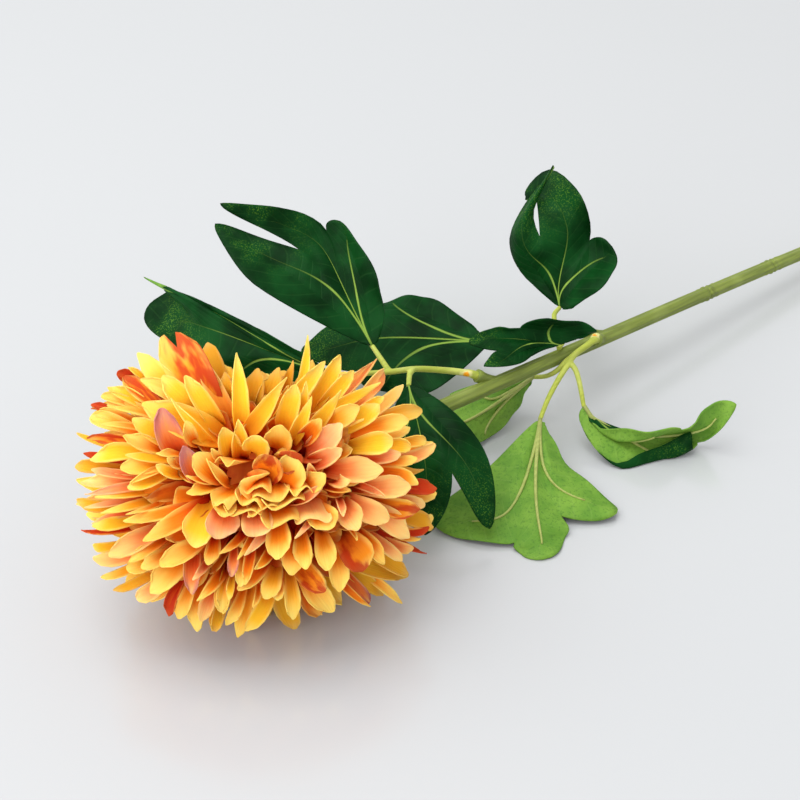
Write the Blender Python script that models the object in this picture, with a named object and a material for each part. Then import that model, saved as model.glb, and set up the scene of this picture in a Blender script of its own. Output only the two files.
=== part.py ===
"""A cut stem of a full double chrysanthemum, lying on a table.

Metres, +Z up. The stem runs along +X from the bloom to its cut end. The flower
rests on the lowest petals, which the table presses flat, on the tips of two
leaves and on the cut end of the stem.

The numbers below are millimetres and degrees, measured from the spot on the
table under the middle of the bloom. The empty "flower" stands on that spot, so
that the origin is at the bottom centre of the whole flower.
"""

import math
import random

import bmesh
import bpy
import numpy as np
from mathutils import Vector

MM = 0.001
SEED = 11

# The spot under the bloom, seen from the bottom centre of the whole flower
SPOT = (-226.9, -36.2)

# Room left between pieces that are glued or plugged together
SEAT = 0.3

# Bloom: where its middle is, and which way it faces
BLOOM_MIDDLE = (4.0, 6.5, 51.8)
BLOOM_HEADING = 239.0
BLOOM_RISE = 34.0

# Bloom: half sizes of the ball that the petal tips lie on, and how far forward it sits
BLOOM_ACROSS = 77.0
BLOOM_UPRIGHT = 63.3
BLOOM_FRONT = 50.0
BLOOM_REAR = 60.0
BLOOM_AHEAD = 3.0

# Core: half sizes of the ball that the petals grow from, and its flat back
CORE_ACROSS = 38.0
CORE_UPRIGHT = 34.0
CORE_FRONT = 27.0
CORE_REAR = 34.0
CORE_BACK = 24.0
CORE_SIDES = 18
CORE_RINGS = 11

# Petals: how many, the angle from the bloom's axis to the first and the last, and
# how they crowd towards the eye
PETALS = 232
PETAL_FIRST = 3.0
PETAL_LAST = 135.0
PETAL_CROWD = 0.72
GOLDEN_TURN = math.pi * (3.0 - math.sqrt(5.0))

# Petals: how deep they are sunk, how much the root leans, the forward arch of the
# outer ones and the outward bulge of those about the eye
ROOT_SUNK = 4.0
ROOT_LEAN = 0.66
BELLY_LEAST = 2.0
BELLY_ARCH = 9.0
BELLY_BULGE = 9.0

# Petals: full width, thickness, and the share of the width by which the edges rise
PETAL_WIDE = 12.0
PETAL_THICK = 1.0
PETAL_CUP = 0.2
PETAL_CLEAR = 11.4

# Petals: the share of the length, and of the full width, at each row
PETAL_ROWS = ((0.0, 0.34), (0.38, 0.7), (0.72, 1.0), (0.92, 0.78))

# Petals: how much they differ, as the least and the most
REACH_RANGE = (0.93, 1.04)
BELLY_RANGE = (0.6, 1.1)
WIDE_RANGE = (0.88, 1.08)
TILT_JITTER = 2.5
TURN_JITTER = 0.06
TWIST_JITTER = 0.35

# The table presses the lowest petals flat: how high their middle then is, over
# what height they bend, and over what height they come free of it
PRESSED = 0.0
PRESS_BEND = 0.4
FREE_FROM = 1.0
FREE_OVER = 4.0

# Calyx: the green cup behind the bloom, as radius and depth of each ring
CALYX_RINGS = ((13.0, 0.0), (12.0, 3.0), (8.6, 7.0), (4.6, 11.0), (4.6, 14.0))
CALYX_SIDES = 20

# Stem: its radius, the points it passes, and the rings where it steps out
STEM_RADIUS = 3.4
STEM_SEATED = 4.0
STEM_PITCH = 9.0
STEM_PATH = (
    (35.0, 48.0, 22.5),
    (52.0, 42.0, 24.0),
    (75.0, 27.0, 30.5),
    (96.0, 17.0, 35.5),
    (117.0, 13.5, 37.6),
    (212.0, 13.5, 30.4),
    (303.0, 13.5, 23.6),
    (386.0, 13.5, 16.6),
    (525.0, 13.5, 3.25),
)
STEM_STEPS = (303.0, 358.0, 413.0, 468.0)
STEM_STEP = 0.45
STEP_LONG = 0.5

# Sockets moulded on the stem for the three sprays, from the stem to the mouth
SOCKET_RADIUS = 2.5
SOCKET_MOUTH = 3.3
SOCKET_FLARE = (0.7, 0.8)
SOCKETS = {
    "near": ((150.0, 13.5, 35.0), (139.5, 18.5, 41.5)),
    "front": ((222.0, 13.5, 29.6), (212.5, 9.0, 35.5)),
    "back": ((226.0, 13.5, 29.3), (216.0, 20.0, 32.5)),
}

# Sprays: the plug, the stalks, and the room between a stalk and its leaf
PLUG_RADIUS = 2.1
PLUG_LONG = 4.0
PLUG_TAPER = 0.15
STALK_RADIUS = 1.5
BRANCH_RADIUS = 1.4
STALK_PITCH = 6.0
LEAF_SEAT = 0.75

# Sprays: the points that each stalk passes and the leaf that it carries. The
# first stalk of a spray has the plug, and the others branch from it.
STALKS = {
    "near": (
        (((127, 26, 46), (113, 32, 50), (98, 34, 54), (85, 38.5, 56.5)), "leaf_b"),
        (((98.5, 34.5, 54), (99, 41, 57)), "leaf_a"),
        (((112, 32.3, 50.3), (107, 29.5, 51.5)), "leaf_c"),
    ),
    "front": (
        (((205, 4, 35), (192, 1, 30.5), (173, -3, 24)), "leaf_g"),
        (((190, 0.5, 30), (188, -5, 26)), "leaf_h"),
        (((194, 1.5, 31), (192, 6, 24.5), (187.5, 12, 22.5)), "leaf_i"),
    ),
    "back": (
        (((209, 25, 35.5), (204, 29, 38), (206, 33, 41)), "leaf_e"),
        (((208, 25.5, 36), (200, 19, 36.5), (190, 13, 38)), "leaf_f"),
        (((206, 27, 36.5), (195, 38, 32)), "leaf_d"),
    ),
}

# Leaves: each lobe of the die, as its angle, length and half width
LOBES = ((33.0, 86.0, 16.5), (0.0, 95.0, 19.0), (-38.0, 62.0, 15.0))
LOBE_WIDEST = 0.64
LOBE_SWELL = 0.8
LOBE_POINT = 0.6
LEAF_THICK = 0.8
LEAF_RINGS = (0.3, 0.55, 0.8, 1.0)
LEAF_RAYS = 24
LEAF_SHOULDER = 0.35

# Leaves: where each has been bent to. The points are its base, the ends of its
# left, middle and right lobe, its left and right notch, and its widest point to
# the left and to the right.
LEAVES = {
    "leaf_a": (
        (100, 49, 60), (72, 135, 98), (74, 132, 110), (117, 96, 100),
        (98, 101, 88), (114, 100, 94), (67, 97, 84), (115, 63, 84),
    ),
    "leaf_b": (
        (73, 43, 58), (31, 94, 44), (26, 130, 66), (35, 144, 78),
        (35, 85, 60), (40, 115, 78), (49, 65, 48), (51, 90, 76),
    ),
    "leaf_c": (
        (100, 22, 52), (95, -42, 10), (68, -28, 12), (70, -4, 16),
        (89, -22, 33), (76, -5, 28), (108, -22, 37), (76, 7, 38),
    ),
    "leaf_d": (
        (176, 50, 28), (119, 74, 12), (102, 111, 22), (154, 106, 34),
        (131, 72, 24), (143, 106, 32), (136, 48, 16), (172, 91, 36),
    ),
    "leaf_e": (
        (212, 35, 42), (226, 78, 88), (239, 71, 100), (248, 34, 66),
        (221, 64, 76), (241, 45, 66), (208, 71, 68), (226, 23, 54),
    ),
    "leaf_f": (
        (187, 10, 43), (143, 17, 47), (151, 37, 48), (182, 14, 58),
        (157, 21, 47), (174, 25, 51), (161, 11, 43), (203, 1, 50),
    ),
    "leaf_g": (
        (159, -7, 20), (83, -21, 2), (107, -66, 0), (153, -66, 2),
        (103, -50, 4), (131, -51, 6), (111, -9, 7), (156, -35, 7),
    ),
    "leaf_h": (
        (184, -12, 18), (184, -47, 0), (236, -65, 26), (212, -62, 22),
        (218, -54, 4), (222, -58, 21), (175, -27, 5), (194, -43, 22),
    ),
    "leaf_i": (
        (179, 19, 22), (142, 40, 16), (128, 31, 6), (141, 15, 2),
        (145, 31, 14), (134, 18, 6), (166, 33, 18), (165, 17, 6),
    ),
}
PALE_SIDE_UP = ("leaf_g", "leaf_h", "leaf_i")

# Materials: colour and roughness
COLOURS = {
    "petal_silk": ((0.93, 0.45, 0.10), 0.75),
    "leaf_silk": ((0.02, 0.09, 0.04), 0.6),
    "leaf_silk_pale": ((0.20, 0.42, 0.10), 0.7),
    "stem_plastic": ((0.27, 0.34, 0.10), 0.5),
    "stalk_plastic": ((0.50, 0.55, 0.14), 0.5),
}


def point(values):
    return np.array(values, float)


def unit(vector):
    return vector / np.linalg.norm(vector)


def bloom_axes():
    """The bloom's right, up and outward directions."""
    heading = math.radians(BLOOM_HEADING)
    rise = math.radians(BLOOM_RISE)
    level = math.cos(rise)
    out = point((math.cos(heading) * level, math.sin(heading) * level, math.sin(rise)))
    right = unit(np.cross((0.0, 0.0, 1.0), out))
    return right, np.cross(out, right), out


RIGHT, UP, OUT = bloom_axes()


def in_bloom(x, y, depth):
    """A point given along the bloom's own right, up and outward directions."""
    return point(BLOOM_MIDDLE) + x * RIGHT + y * UP + depth * OUT


def smooth_path(places, pitch):
    """A Catmull-Rom curve through the places, with a point about every pitch."""
    knots = [point(place) for place in places]
    knots = [2 * knots[0] - knots[1], *knots, 2 * knots[-1] - knots[-2]]
    path = []
    for a, b, c, d in zip(knots, knots[1:], knots[2:], knots[3:]):
        count = max(2, round(np.linalg.norm(c - b) / pitch))
        for step in range(count):
            t = step / count
            bend = (2 * a - 5 * b + 4 * c - d) * t**2 + (3 * b - a - 3 * c + d) * t**3
            path.append(b + 0.5 * ((c - a) * t + bend))
    return [*path, knots[-2]]


def make_material(name):
    colour, roughness = COLOURS[name]
    material = bpy.data.materials.new(name)
    material.use_nodes = True
    shader = material.node_tree.nodes["Principled BSDF"]
    shader.inputs["Base Color"].default_value = (*colour, 1.0)
    shader.inputs["Roughness"].default_value = roughness
    return material


def link_piece(name, mesh, material, flower, collection):
    mesh.materials.clear()
    mesh.materials.append(material)
    piece = bpy.data.objects.new(name, mesh)
    collection.objects.link(piece)
    piece.parent = flower


def close_up(work, mesh):
    """Turns the faces outward, makes them triangles and puts them in the mesh."""
    bmesh.ops.recalc_face_normals(work, faces=work.faces)
    bmesh.ops.triangulate(work, faces=work.faces)
    work.to_mesh(mesh)
    work.free()
    return mesh


def mesh_of(name, vertices, faces):
    mesh = bpy.data.meshes.new(name)
    mesh.from_pydata([tuple(point(vertex) * MM) for vertex in vertices], [], faces)
    work = bmesh.new()
    work.from_mesh(mesh)
    return close_up(work, mesh)


def applied(piece):
    """The mesh of an object with its modifiers applied. The object goes."""
    graph = bpy.context.evaluated_depsgraph_get()
    mesh = bpy.data.meshes.new_from_object(piece.evaluated_get(graph))
    bpy.data.objects.remove(piece)
    return mesh


def joined(name, meshes):
    """One closed body out of a main mesh and those that stand in it."""
    main = bpy.data.objects.new(name, meshes[0])
    bpy.context.scene.collection.objects.link(main)
    others = bpy.data.collections.new(name + "_others")
    bpy.context.scene.collection.children.link(others)
    for number, mesh in enumerate(meshes[1:]):
        others.objects.link(bpy.data.objects.new(f"{name}_{number}", mesh))
    union = main.modifiers.new("union", "BOOLEAN")
    union.operation = "UNION"
    union.operand_type = "COLLECTION"
    union.collection = others
    union.solver = "MANIFOLD"
    mesh = applied(main)
    for helper in list(others.objects):
        bpy.data.objects.remove(helper)
    bpy.data.collections.remove(others)
    return mesh


def cut_level(mesh):
    """The mesh with what reaches below the table cut away."""
    piece = bpy.data.objects.new("resting", mesh)
    bpy.context.scene.collection.objects.link(piece)
    side = 0.4
    bpy.ops.mesh.primitive_cube_add(size=side, location=(0.0, 0.0, -side / 2))
    table = bpy.context.object
    cut = piece.modifiers.new("table", "BOOLEAN")
    cut.operation = "DIFFERENCE"
    cut.object = table
    cut.solver = "MANIFOLD"
    flat = applied(piece)
    bpy.data.objects.remove(table)
    return flat


def largest_shell(mesh):
    """The mesh without the hollows and scraps that fusing leaves."""
    work = bmesh.new()
    work.from_mesh(mesh)
    left = set(work.verts)
    shells = []
    while left:
        reached = [left.pop()]
        shell = list(reached)
        while reached:
            ends = {vertex for edge in reached.pop().link_edges for vertex in edge.verts}
            found = ends & left
            left -= found
            reached.extend(found)
            shell.extend(found)
        shells.append(shell)
    shells.sort(key=len)
    for shell in shells[:-1]:
        bmesh.ops.delete(work, geom=shell, context="VERTS")
    work.to_mesh(mesh)
    work.free()
    return mesh


def pressed(place):
    """Where the table leaves a point of a petal that would hang below it."""
    over = min((place[2] - PRESSED) / PRESS_BEND, 30.0)
    height = PRESSED + PRESS_BEND * math.log1p(math.exp(over))
    return point((place[0], place[1], max(place[2], height)))


def along_petal(root, belly, tip, share):
    return (1 - share) ** 2 * root + 2 * share * (1 - share) * belly + share**2 * tip


def petal_line(turn, tilt, rng):
    """The middle line of a petal: its root in the core, its belly and its tip."""
    across = math.cos(turn)
    upright = math.sin(turn)
    sunk = 1.0 - ROOT_SUNK / CORE_ACROSS
    lean = tilt * ROOT_LEAN
    root = in_bloom(
        CORE_ACROSS * sunk * math.sin(lean) * across,
        CORE_UPRIGHT * sunk * math.sin(lean) * upright,
        CORE_FRONT * sunk * math.cos(lean),
    )
    reach = rng.uniform(*REACH_RANGE)
    deep = BLOOM_FRONT if math.cos(tilt) > 0.0 else BLOOM_REAR
    tip = in_bloom(
        BLOOM_ACROSS * reach * math.sin(tilt) * across,
        BLOOM_UPRIGHT * reach * math.sin(tilt) * upright,
        deep * reach * math.cos(tilt) + BLOOM_AHEAD,
    )
    arch = BELLY_LEAST + BELLY_ARCH * math.sin(tilt) * rng.uniform(*BELLY_RANGE)
    bulge = BELLY_BULGE * max(0.0, math.cos(tilt)) ** 2
    belly = 0.5 * (root + tip) + arch * OUT + bulge * (across * RIGHT + upright * UP)
    return root, belly, tip


def petal_blade(root, belly, tip, around, wide, twist):
    """A cupped tongue: rows of edge, inner face, edge and outer face, and a tip."""
    vertices = []
    for share, width in PETAL_ROWS:
        middle = pressed(along_petal(root, belly, tip, share))
        along = unit((1 - share) * (belly - root) + share * (tip - belly))
        side = unit(around - along * np.dot(around, along))
        side = side * math.cos(twist * share) + np.cross(along, side) * math.sin(twist * share)
        freed = min(1.0, max(0.0, middle[2] - FREE_FROM) / FREE_OVER)
        side = unit(side * (1.0, 1.0, freed))
        face = unit(np.cross(along * (1.0, 1.0, freed), side))
        half = 0.5 * wide * width
        cup = PETAL_CUP * 2.0 * half * freed
        vertices.append(middle + side * half + face * cup)
        vertices.append(middle + face * 0.5 * PETAL_THICK)
        vertices.append(middle - side * half + face * cup)
        vertices.append(middle - face * 0.5 * PETAL_THICK)
    vertices.append(pressed(tip))
    faces = [(0, 1, 2), (0, 2, 3)]
    last = 4 * (len(PETAL_ROWS) - 1)
    for row in range(0, last, 4):
        for corner in range(4):
            a = row + corner
            b = row + (corner + 1) % 4
            faces.append((a, a + 4, b + 4))
            faces.append((a, b + 4, b))
    for corner in range(4):
        faces.append((last + corner, last + 4, last + (corner + 1) % 4))
    return vertices, faces


def clear_of_stem(root, belly, tip, stem):
    """True if a petal keeps away from the neck of the stem."""
    for share in (0.5, 0.75, 1.0):
        middle = along_petal(root, belly, tip, share)
        if min(np.linalg.norm(middle - spot) for spot in stem) < PETAL_CLEAR:
            return False
    return True


def petals(stem):
    """Every petal, in a spiral of golden turns from the eye of the bloom to its back."""
    rng = random.Random(SEED)
    blades = []
    for number in range(PETALS):
        share = ((number + 0.5) / PETALS) ** PETAL_CROWD
        tilt = PETAL_FIRST + (PETAL_LAST - PETAL_FIRST) * share
        tilt = math.radians(tilt + rng.uniform(-TILT_JITTER, TILT_JITTER))
        turn = number * GOLDEN_TURN + rng.uniform(-TURN_JITTER, TURN_JITTER)
        wide = PETAL_WIDE * rng.uniform(*WIDE_RANGE)
        twist = rng.uniform(-TWIST_JITTER, TWIST_JITTER)
        root, belly, tip = petal_line(turn, tilt, rng)
        around = math.cos(turn) * UP - math.sin(turn) * RIGHT
        if clear_of_stem(root, belly, tip, stem):
            blades.append(petal_blade(root, belly, tip, around, wide, twist))
    return blades


def core_mesh():
    """The ball under the petals, cut flat behind where the calyx sits."""
    work = bmesh.new()
    bmesh.ops.create_uvsphere(work, u_segments=CORE_SIDES, v_segments=CORE_RINGS, radius=1.0)
    for vertex in work.verts:
        x, y, z = vertex.co
        depth = CORE_FRONT * z if z > 0 else CORE_REAR * z
        vertex.co = Vector(in_bloom(CORE_ACROSS * x, CORE_UPRIGHT * y, depth) * MM)
    cut = bmesh.ops.bisect_plane(
        work,
        geom=[*work.verts, *work.edges, *work.faces],
        plane_co=Vector(in_bloom(0.0, 0.0, -CORE_BACK) * MM),
        plane_no=Vector(-OUT),
        clear_outer=True,
    )
    rim = [edge for edge in cut["geom_cut"] if isinstance(edge, bmesh.types.BMEdge)]
    bmesh.ops.edgeloop_fill(work, edges=rim)
    return close_up(work, bpy.data.meshes.new("core"))


def bloom_mesh(stem):
    """The core with every petal fused on, flat where it rests on the table."""
    blades = [mesh_of("petal", *blade) for blade in petals(stem)]
    return largest_shell(cut_level(joined("bloom", [core_mesh(), *blades])))


def calyx_mesh():
    """The turned green cup, from the flat of the core to the end of the stem."""
    vertices = []
    for radius, depth in CALYX_RINGS:
        for side in range(CALYX_SIDES):
            turn = 2 * math.pi * side / CALYX_SIDES
            x = radius * math.cos(turn)
            y = radius * math.sin(turn)
            vertices.append(in_bloom(x, y, -CORE_BACK - SEAT - depth))
    last = (len(CALYX_RINGS) - 1) * CALYX_SIDES
    faces = [tuple(range(CALYX_SIDES)), tuple(range(last + CALYX_SIDES - 1, last - 1, -1))]
    for start in range(0, last, CALYX_SIDES):
        for side in range(CALYX_SIDES):
            a = start + side
            b = start + (side + 1) % CALYX_SIDES
            faces.append((a, b, b + CALYX_SIDES, a + CALYX_SIDES))
    return mesh_of("calyx", vertices, faces)


def tube(name, path, radii, collection, resolution):
    """A tube with closed ends along a path, as a mesh whose caps are joined on."""
    curve = bpy.data.curves.new(name, "CURVE")
    curve.dimensions = "3D"
    curve.bevel_depth = MM
    curve.bevel_resolution = resolution
    curve.use_fill_caps = True
    spline = curve.splines.new("POLY")
    spline.points.add(len(path) - 1)
    for place, radius, spot in zip(path, radii, spline.points):
        spot.co = (*(point(place) * MM), 1.0)
        spot.radius = radius
    holder = bpy.data.objects.new(name, curve)
    collection.objects.link(holder)
    mesh = applied(holder)
    bpy.data.curves.remove(curve)
    work = bmesh.new()
    work.from_mesh(mesh)
    bmesh.ops.remove_doubles(work, verts=work.verts, dist=0.00001)
    return close_up(work, mesh)


def stem_line():
    """The middle line of the stem, which starts square to the calyx."""
    depth = CORE_BACK + SEAT + CALYX_RINGS[-1][1] + SEAT
    seat = in_bloom(0.0, 0.0, -depth)
    straight = in_bloom(0.0, 0.0, -depth - STEM_SEATED)
    return [seat, *smooth_path([straight, *STEM_PATH], STEM_PITCH)]


def stem_mesh(line, collection):
    """The stem with its steps, and the sockets that stand out of it."""
    path = list(line)
    radii = [STEM_RADIUS] * len(path)
    for x in STEM_STEPS:
        near = min(range(len(path)), key=lambda i: abs(path[i][0] - x))
        along = unit(path[near + 1] - path[near])
        path[near] = path[near] + along * (x - path[near][0]) / along[0]
        radii[near] = STEM_RADIUS + STEM_STEP
        path.insert(near + 1, path[near] + along * STEP_LONG)
        radii.insert(near + 1, STEM_RADIUS)
    pieces = [tube("stem", path, radii, collection, 2)]
    for ends in SOCKETS.values():
        root, mouth = (point(place) for place in ends)
        flares = [root + share * (mouth - root) for share in SOCKET_FLARE]
        radii = (SOCKET_RADIUS, SOCKET_RADIUS, SOCKET_MOUTH, SOCKET_MOUTH)
        pieces.append(tube("socket", [root, *flares, mouth], radii, collection, 2))
    return joined("stem", pieces)


def spray_mesh(name, collection):
    """The stalks of a spray: the plug in its socket and a branch to each leaf."""
    root, mouth = (point(place) for place in SOCKETS[name])
    along = unit(mouth - root)
    pieces = []
    for number, (places, leaf) in enumerate(STALKS[name]):
        base = point(LEAVES[leaf][0])
        plug = [mouth + along * PLUG_LONG] if number == 0 else []
        line = smooth_path([*plug, *places, base], STALK_PITCH)
        line[-1] = base + LEAF_SEAT * unit(line[-2] - base)
        radii = [BRANCH_RADIUS] * len(line)
        if number == 0:
            line = [mouth + along * SEAT, *line]
            radii = [max(STALK_RADIUS, PLUG_RADIUS - PLUG_TAPER * i) for i in range(len(line))]
        pieces.append(tube(name, line, radii, collection, 1))
    return joined(name, pieces)


def lobe_reach(angle, length, half, ray):
    """How far the edge of a lobe is from the base of the leaf, along a ray."""
    shares = np.linspace(0.02, 1.0, 60)
    swell = np.sin(0.5 * math.pi * np.minimum(shares / LOBE_WIDEST, 1.0)) ** LOBE_SWELL
    past = np.clip((shares - LOBE_WIDEST) / (1.0 - LOBE_WIDEST), 0.0, 1.0)
    widths = half * swell * np.cos(0.499 * math.pi * past) ** LOBE_POINT
    angles = np.arctan2(widths, shares * length)
    reaches = np.hypot(widths, shares * length)
    off = abs(ray - math.radians(angle))
    return float(np.interp(off, angles[::-1], reaches[::-1], right=0.0))


def leaf_reach(ray):
    return max(lobe_reach(*lobe, ray) for lobe in LOBES)


def notch_ray(angle):
    """The ray to the notch between the middle lobe and the one at an angle."""
    rays = np.radians(np.linspace(0.25 * angle, 0.8 * angle, 120))
    return rays[np.argmin([leaf_reach(ray) for ray in rays])]


def leaf_marks():
    """The ray and the reach of each landmark but the base, in the order of LEAVES."""
    (left, long_left, half_left), (_, long_middle, _), (right, long_right, half_right) = LOBES
    side_left = math.radians(left) + math.atan2(half_left, LOBE_WIDEST * long_left)
    side_right = math.radians(right) - math.atan2(half_right, LOBE_WIDEST * long_right)
    others = (notch_ray(left), notch_ray(right), side_left, side_right)
    return [
        (math.radians(left), long_left),
        (0.0, long_middle),
        (math.radians(right), long_right),
        *((ray, leaf_reach(ray)) for ray in others),
    ]


def on_leaf(ray, reach):
    return (-reach * math.sin(ray), reach * math.cos(ray))


def spline_kernel(gaps):
    gaps = np.maximum(gaps, 1e-9)
    return gaps**2 * np.log(gaps)


def bender(flat, bent):
    """The smoothest bending of a flat sheet that takes each flat point to its bent one."""
    count = len(flat)
    ones = np.hstack([np.ones((count, 1)), flat])
    system = np.zeros((count + 3, count + 3))
    system[:count, :count] = spline_kernel(np.linalg.norm(flat[:, None] - flat[None], axis=2))
    system[:count, count:] = ones
    system[count:, :count] = ones.T
    weights = np.linalg.solve(system, np.vstack([bent, np.zeros((3, 3))]))

    def bend(places):
        terms = spline_kernel(np.linalg.norm(places[:, None] - flat[None], axis=2))
        return np.hstack([terms, np.ones((len(places), 1)), places]) @ weights

    return bend


def leaf_rays(marks):
    """Rays from the base of the leaf that pass through every landmark."""
    stops = sorted(ray for ray, _ in marks)
    stops = [stops[0] - LEAF_SHOULDER, *stops, stops[-1] + LEAF_SHOULDER]
    rays = []
    for a, b in zip(stops, stops[1:]):
        count = max(1, round((b - a) / (stops[-1] - stops[0]) * LEAF_RAYS))
        rays.extend(a + (b - a) * step / count for step in range(count))
    return [*rays, stops[-1]]


def sheet_normals(bend, flat):
    step = 0.5
    along_x = bend(flat + (step, 0.0)) - bend(flat - (step, 0.0))
    along_y = bend(flat + (0.0, step)) - bend(flat - (0.0, step))
    normals = np.cross(along_x, along_y)
    return normals / np.linalg.norm(normals, axis=1, keepdims=True)


def leaf_mesh(name):
    """A leaf: its outline in rings from the base, bent to its landmarks, and thick."""
    marks = leaf_marks()
    rays = leaf_rays(marks)
    places = np.array([on_leaf(0.0, 0.0), *(on_leaf(*mark) for mark in marks)])
    bend = bender(places, np.array(LEAVES[name], float))
    flat = [on_leaf(0.0, 0.0)]
    for ring in LEAF_RINGS:
        flat.extend(on_leaf(ray, leaf_reach(ray) * ring) for ray in rays)
    flat = np.array(flat)
    middle = bend(flat)
    middle[:, 2] = np.maximum(middle[:, 2], 0.5 * LEAF_THICK)
    offset = sheet_normals(bend, flat) * 0.5 * LEAF_THICK
    across = len(rays)
    below = len(flat)
    last = 1 + (len(LEAF_RINGS) - 1) * across
    skin = [(0, i, i + 1) for i in range(1, across)]
    for start in range(1, last, across):
        for a in range(start, start + across - 1):
            skin.append((a, a + across, a + across + 1))
            skin.append((a, a + across + 1, a + 1))
    faces = skin + [(a + below, c + below, b + below) for a, b, c in skin]
    left_edge = range(1, last, across)
    right_edge = range(last - 1, 1, -across)
    rim = [0, *left_edge, *range(last, last + across), *right_edge]
    for a, b in zip(rim, [*rim[1:], rim[0]]):
        faces.append((a, b, b + below))
        faces.append((a, b + below, a + below))
    return mesh_of(name, np.vstack([middle + offset, middle - offset]), faces)


def main():
    for old in list(bpy.data.objects):
        bpy.data.objects.remove(old)
    collection = bpy.data.collections.new("chrysanthemum")
    bpy.context.scene.collection.children.link(collection)
    flower = bpy.data.objects.new("flower", None)
    flower.location = (SPOT[0] * MM, SPOT[1] * MM, 0.0)
    collection.objects.link(flower)
    materials = {name: make_material(name) for name in COLOURS}
    green = materials["stem_plastic"]
    line = stem_line()
    link_piece("bloom", bloom_mesh(line), materials["petal_silk"], flower, collection)
    link_piece("calyx", calyx_mesh(), green, flower, collection)
    link_piece("stem", stem_mesh(line, collection), green, flower, collection)
    for name in STALKS:
        mesh = spray_mesh(name, collection)
        link_piece("stalks_" + name, mesh, materials["stalk_plastic"], flower, collection)
    for name in LEAVES:
        silk = materials["leaf_silk_pale" if name in PALE_SIDE_UP else "leaf_silk"]
        link_piece(name, leaf_mesh(name), silk, flower, collection)


main()
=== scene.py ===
"""The finished look of a cut chrysanthemum of dyed fabric, lying on a pale table.

It is laid out as an add-on: a settings group, an operator for each group of
pieces, and a panel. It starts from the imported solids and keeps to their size.
Lengths are in millimetres and angles in degrees, measured as in the solids from
the spot on the table under the bloom; on_table turns them into metres.
"""

import math
import random

import bmesh
import bpy
import numpy as np
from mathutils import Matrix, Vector


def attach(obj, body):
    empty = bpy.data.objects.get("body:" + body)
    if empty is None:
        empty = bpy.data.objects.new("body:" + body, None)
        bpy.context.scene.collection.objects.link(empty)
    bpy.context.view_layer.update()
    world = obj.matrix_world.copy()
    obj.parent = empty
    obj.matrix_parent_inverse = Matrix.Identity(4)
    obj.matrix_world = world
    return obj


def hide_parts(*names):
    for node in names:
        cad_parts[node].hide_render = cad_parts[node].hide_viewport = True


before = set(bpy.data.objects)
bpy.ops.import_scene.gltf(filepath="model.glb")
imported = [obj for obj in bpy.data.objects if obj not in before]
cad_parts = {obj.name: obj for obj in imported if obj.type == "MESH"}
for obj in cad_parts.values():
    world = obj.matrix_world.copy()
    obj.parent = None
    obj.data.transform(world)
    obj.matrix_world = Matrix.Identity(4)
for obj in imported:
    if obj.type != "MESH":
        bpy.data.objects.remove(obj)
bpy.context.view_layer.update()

bl_info = {
    "name": "Fabric chrysanthemum",
    "version": (1, 0, 0),
    "blender": (4, 5, 0),
    "location": "View3D > Sidebar > Chrysanthemum",
    "description": "Builds a cut chrysanthemum stem of dyed fabric and moulded plastic",
    "category": "Object",
}

MM = 0.001
SPOT = (-226.9, -36.2)

# Bloom, as in the solids: its middle, where it faces, and the ball of petal tips
BLOOM_MIDDLE = (4.0, 6.5, 51.8)
BLOOM_HEADING = 239.0
BLOOM_RISE = 34.0
BLOOM_ACROSS = 77.0
BLOOM_UPRIGHT = 63.3
BLOOM_FRONT = 50.0
BLOOM_REAR = 60.0
BLOOM_AHEAD = 3.0
CORE_ACROSS = 38.0
CORE_UPRIGHT = 34.0
CORE_FRONT = 27.0
CORE_REAR = 34.0
CORE_BACK = 24.0
PETAL_FIRST = 3.0
PETAL_LAST = 135.0
PETAL_CROWD = 0.72
GOLDEN_TURN = math.pi * (3.0 - math.sqrt(5.0))
ROOT_SUNK = 4.0
UNDER_LEAF = 82.0
ROOT_LEAN = 0.66
BELLY_LEAST = 2.0
BELLY_ARCH = 9.0
BELLY_BULGE = 9.0
SEAT = 0.3

CALYX_RINGS = ((13.0, 0.0), (12.0, 3.0), (8.6, 7.0), (4.6, 11.0), (4.6, 14.0))

STEM_SEATED = 4.0
STEM_PITCH = 3.0
STEM_RADIUS = 3.8
FLUTES = 7
STEM_PATH = (
    (35.0, 48.0, 22.5),
    (52.0, 42.0, 24.0),
    (75.0, 27.0, 30.5),
    (96.0, 17.0, 35.5),
    (117.0, 13.5, 37.6),
    (212.0, 13.5, 30.4),
    (303.0, 13.5, 23.6),
    (386.0, 13.5, 16.6),
    (525.0, 13.5, 3.7),
)
STEM_STEPS = (303.0, 358.0, 413.0, 468.0)
STEP_PROFILE = (
    (-12.0, 0.0), (-5.0, 0.25), (-1.2, 0.62), (-0.2, 0.6), (0.1, 0.1), (0.4, -0.7), (1.1, -0.8),
    (1.6, -0.1), (3.0, 0.4), (7.0, 0.3), (14.0, 0.0),
)

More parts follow.
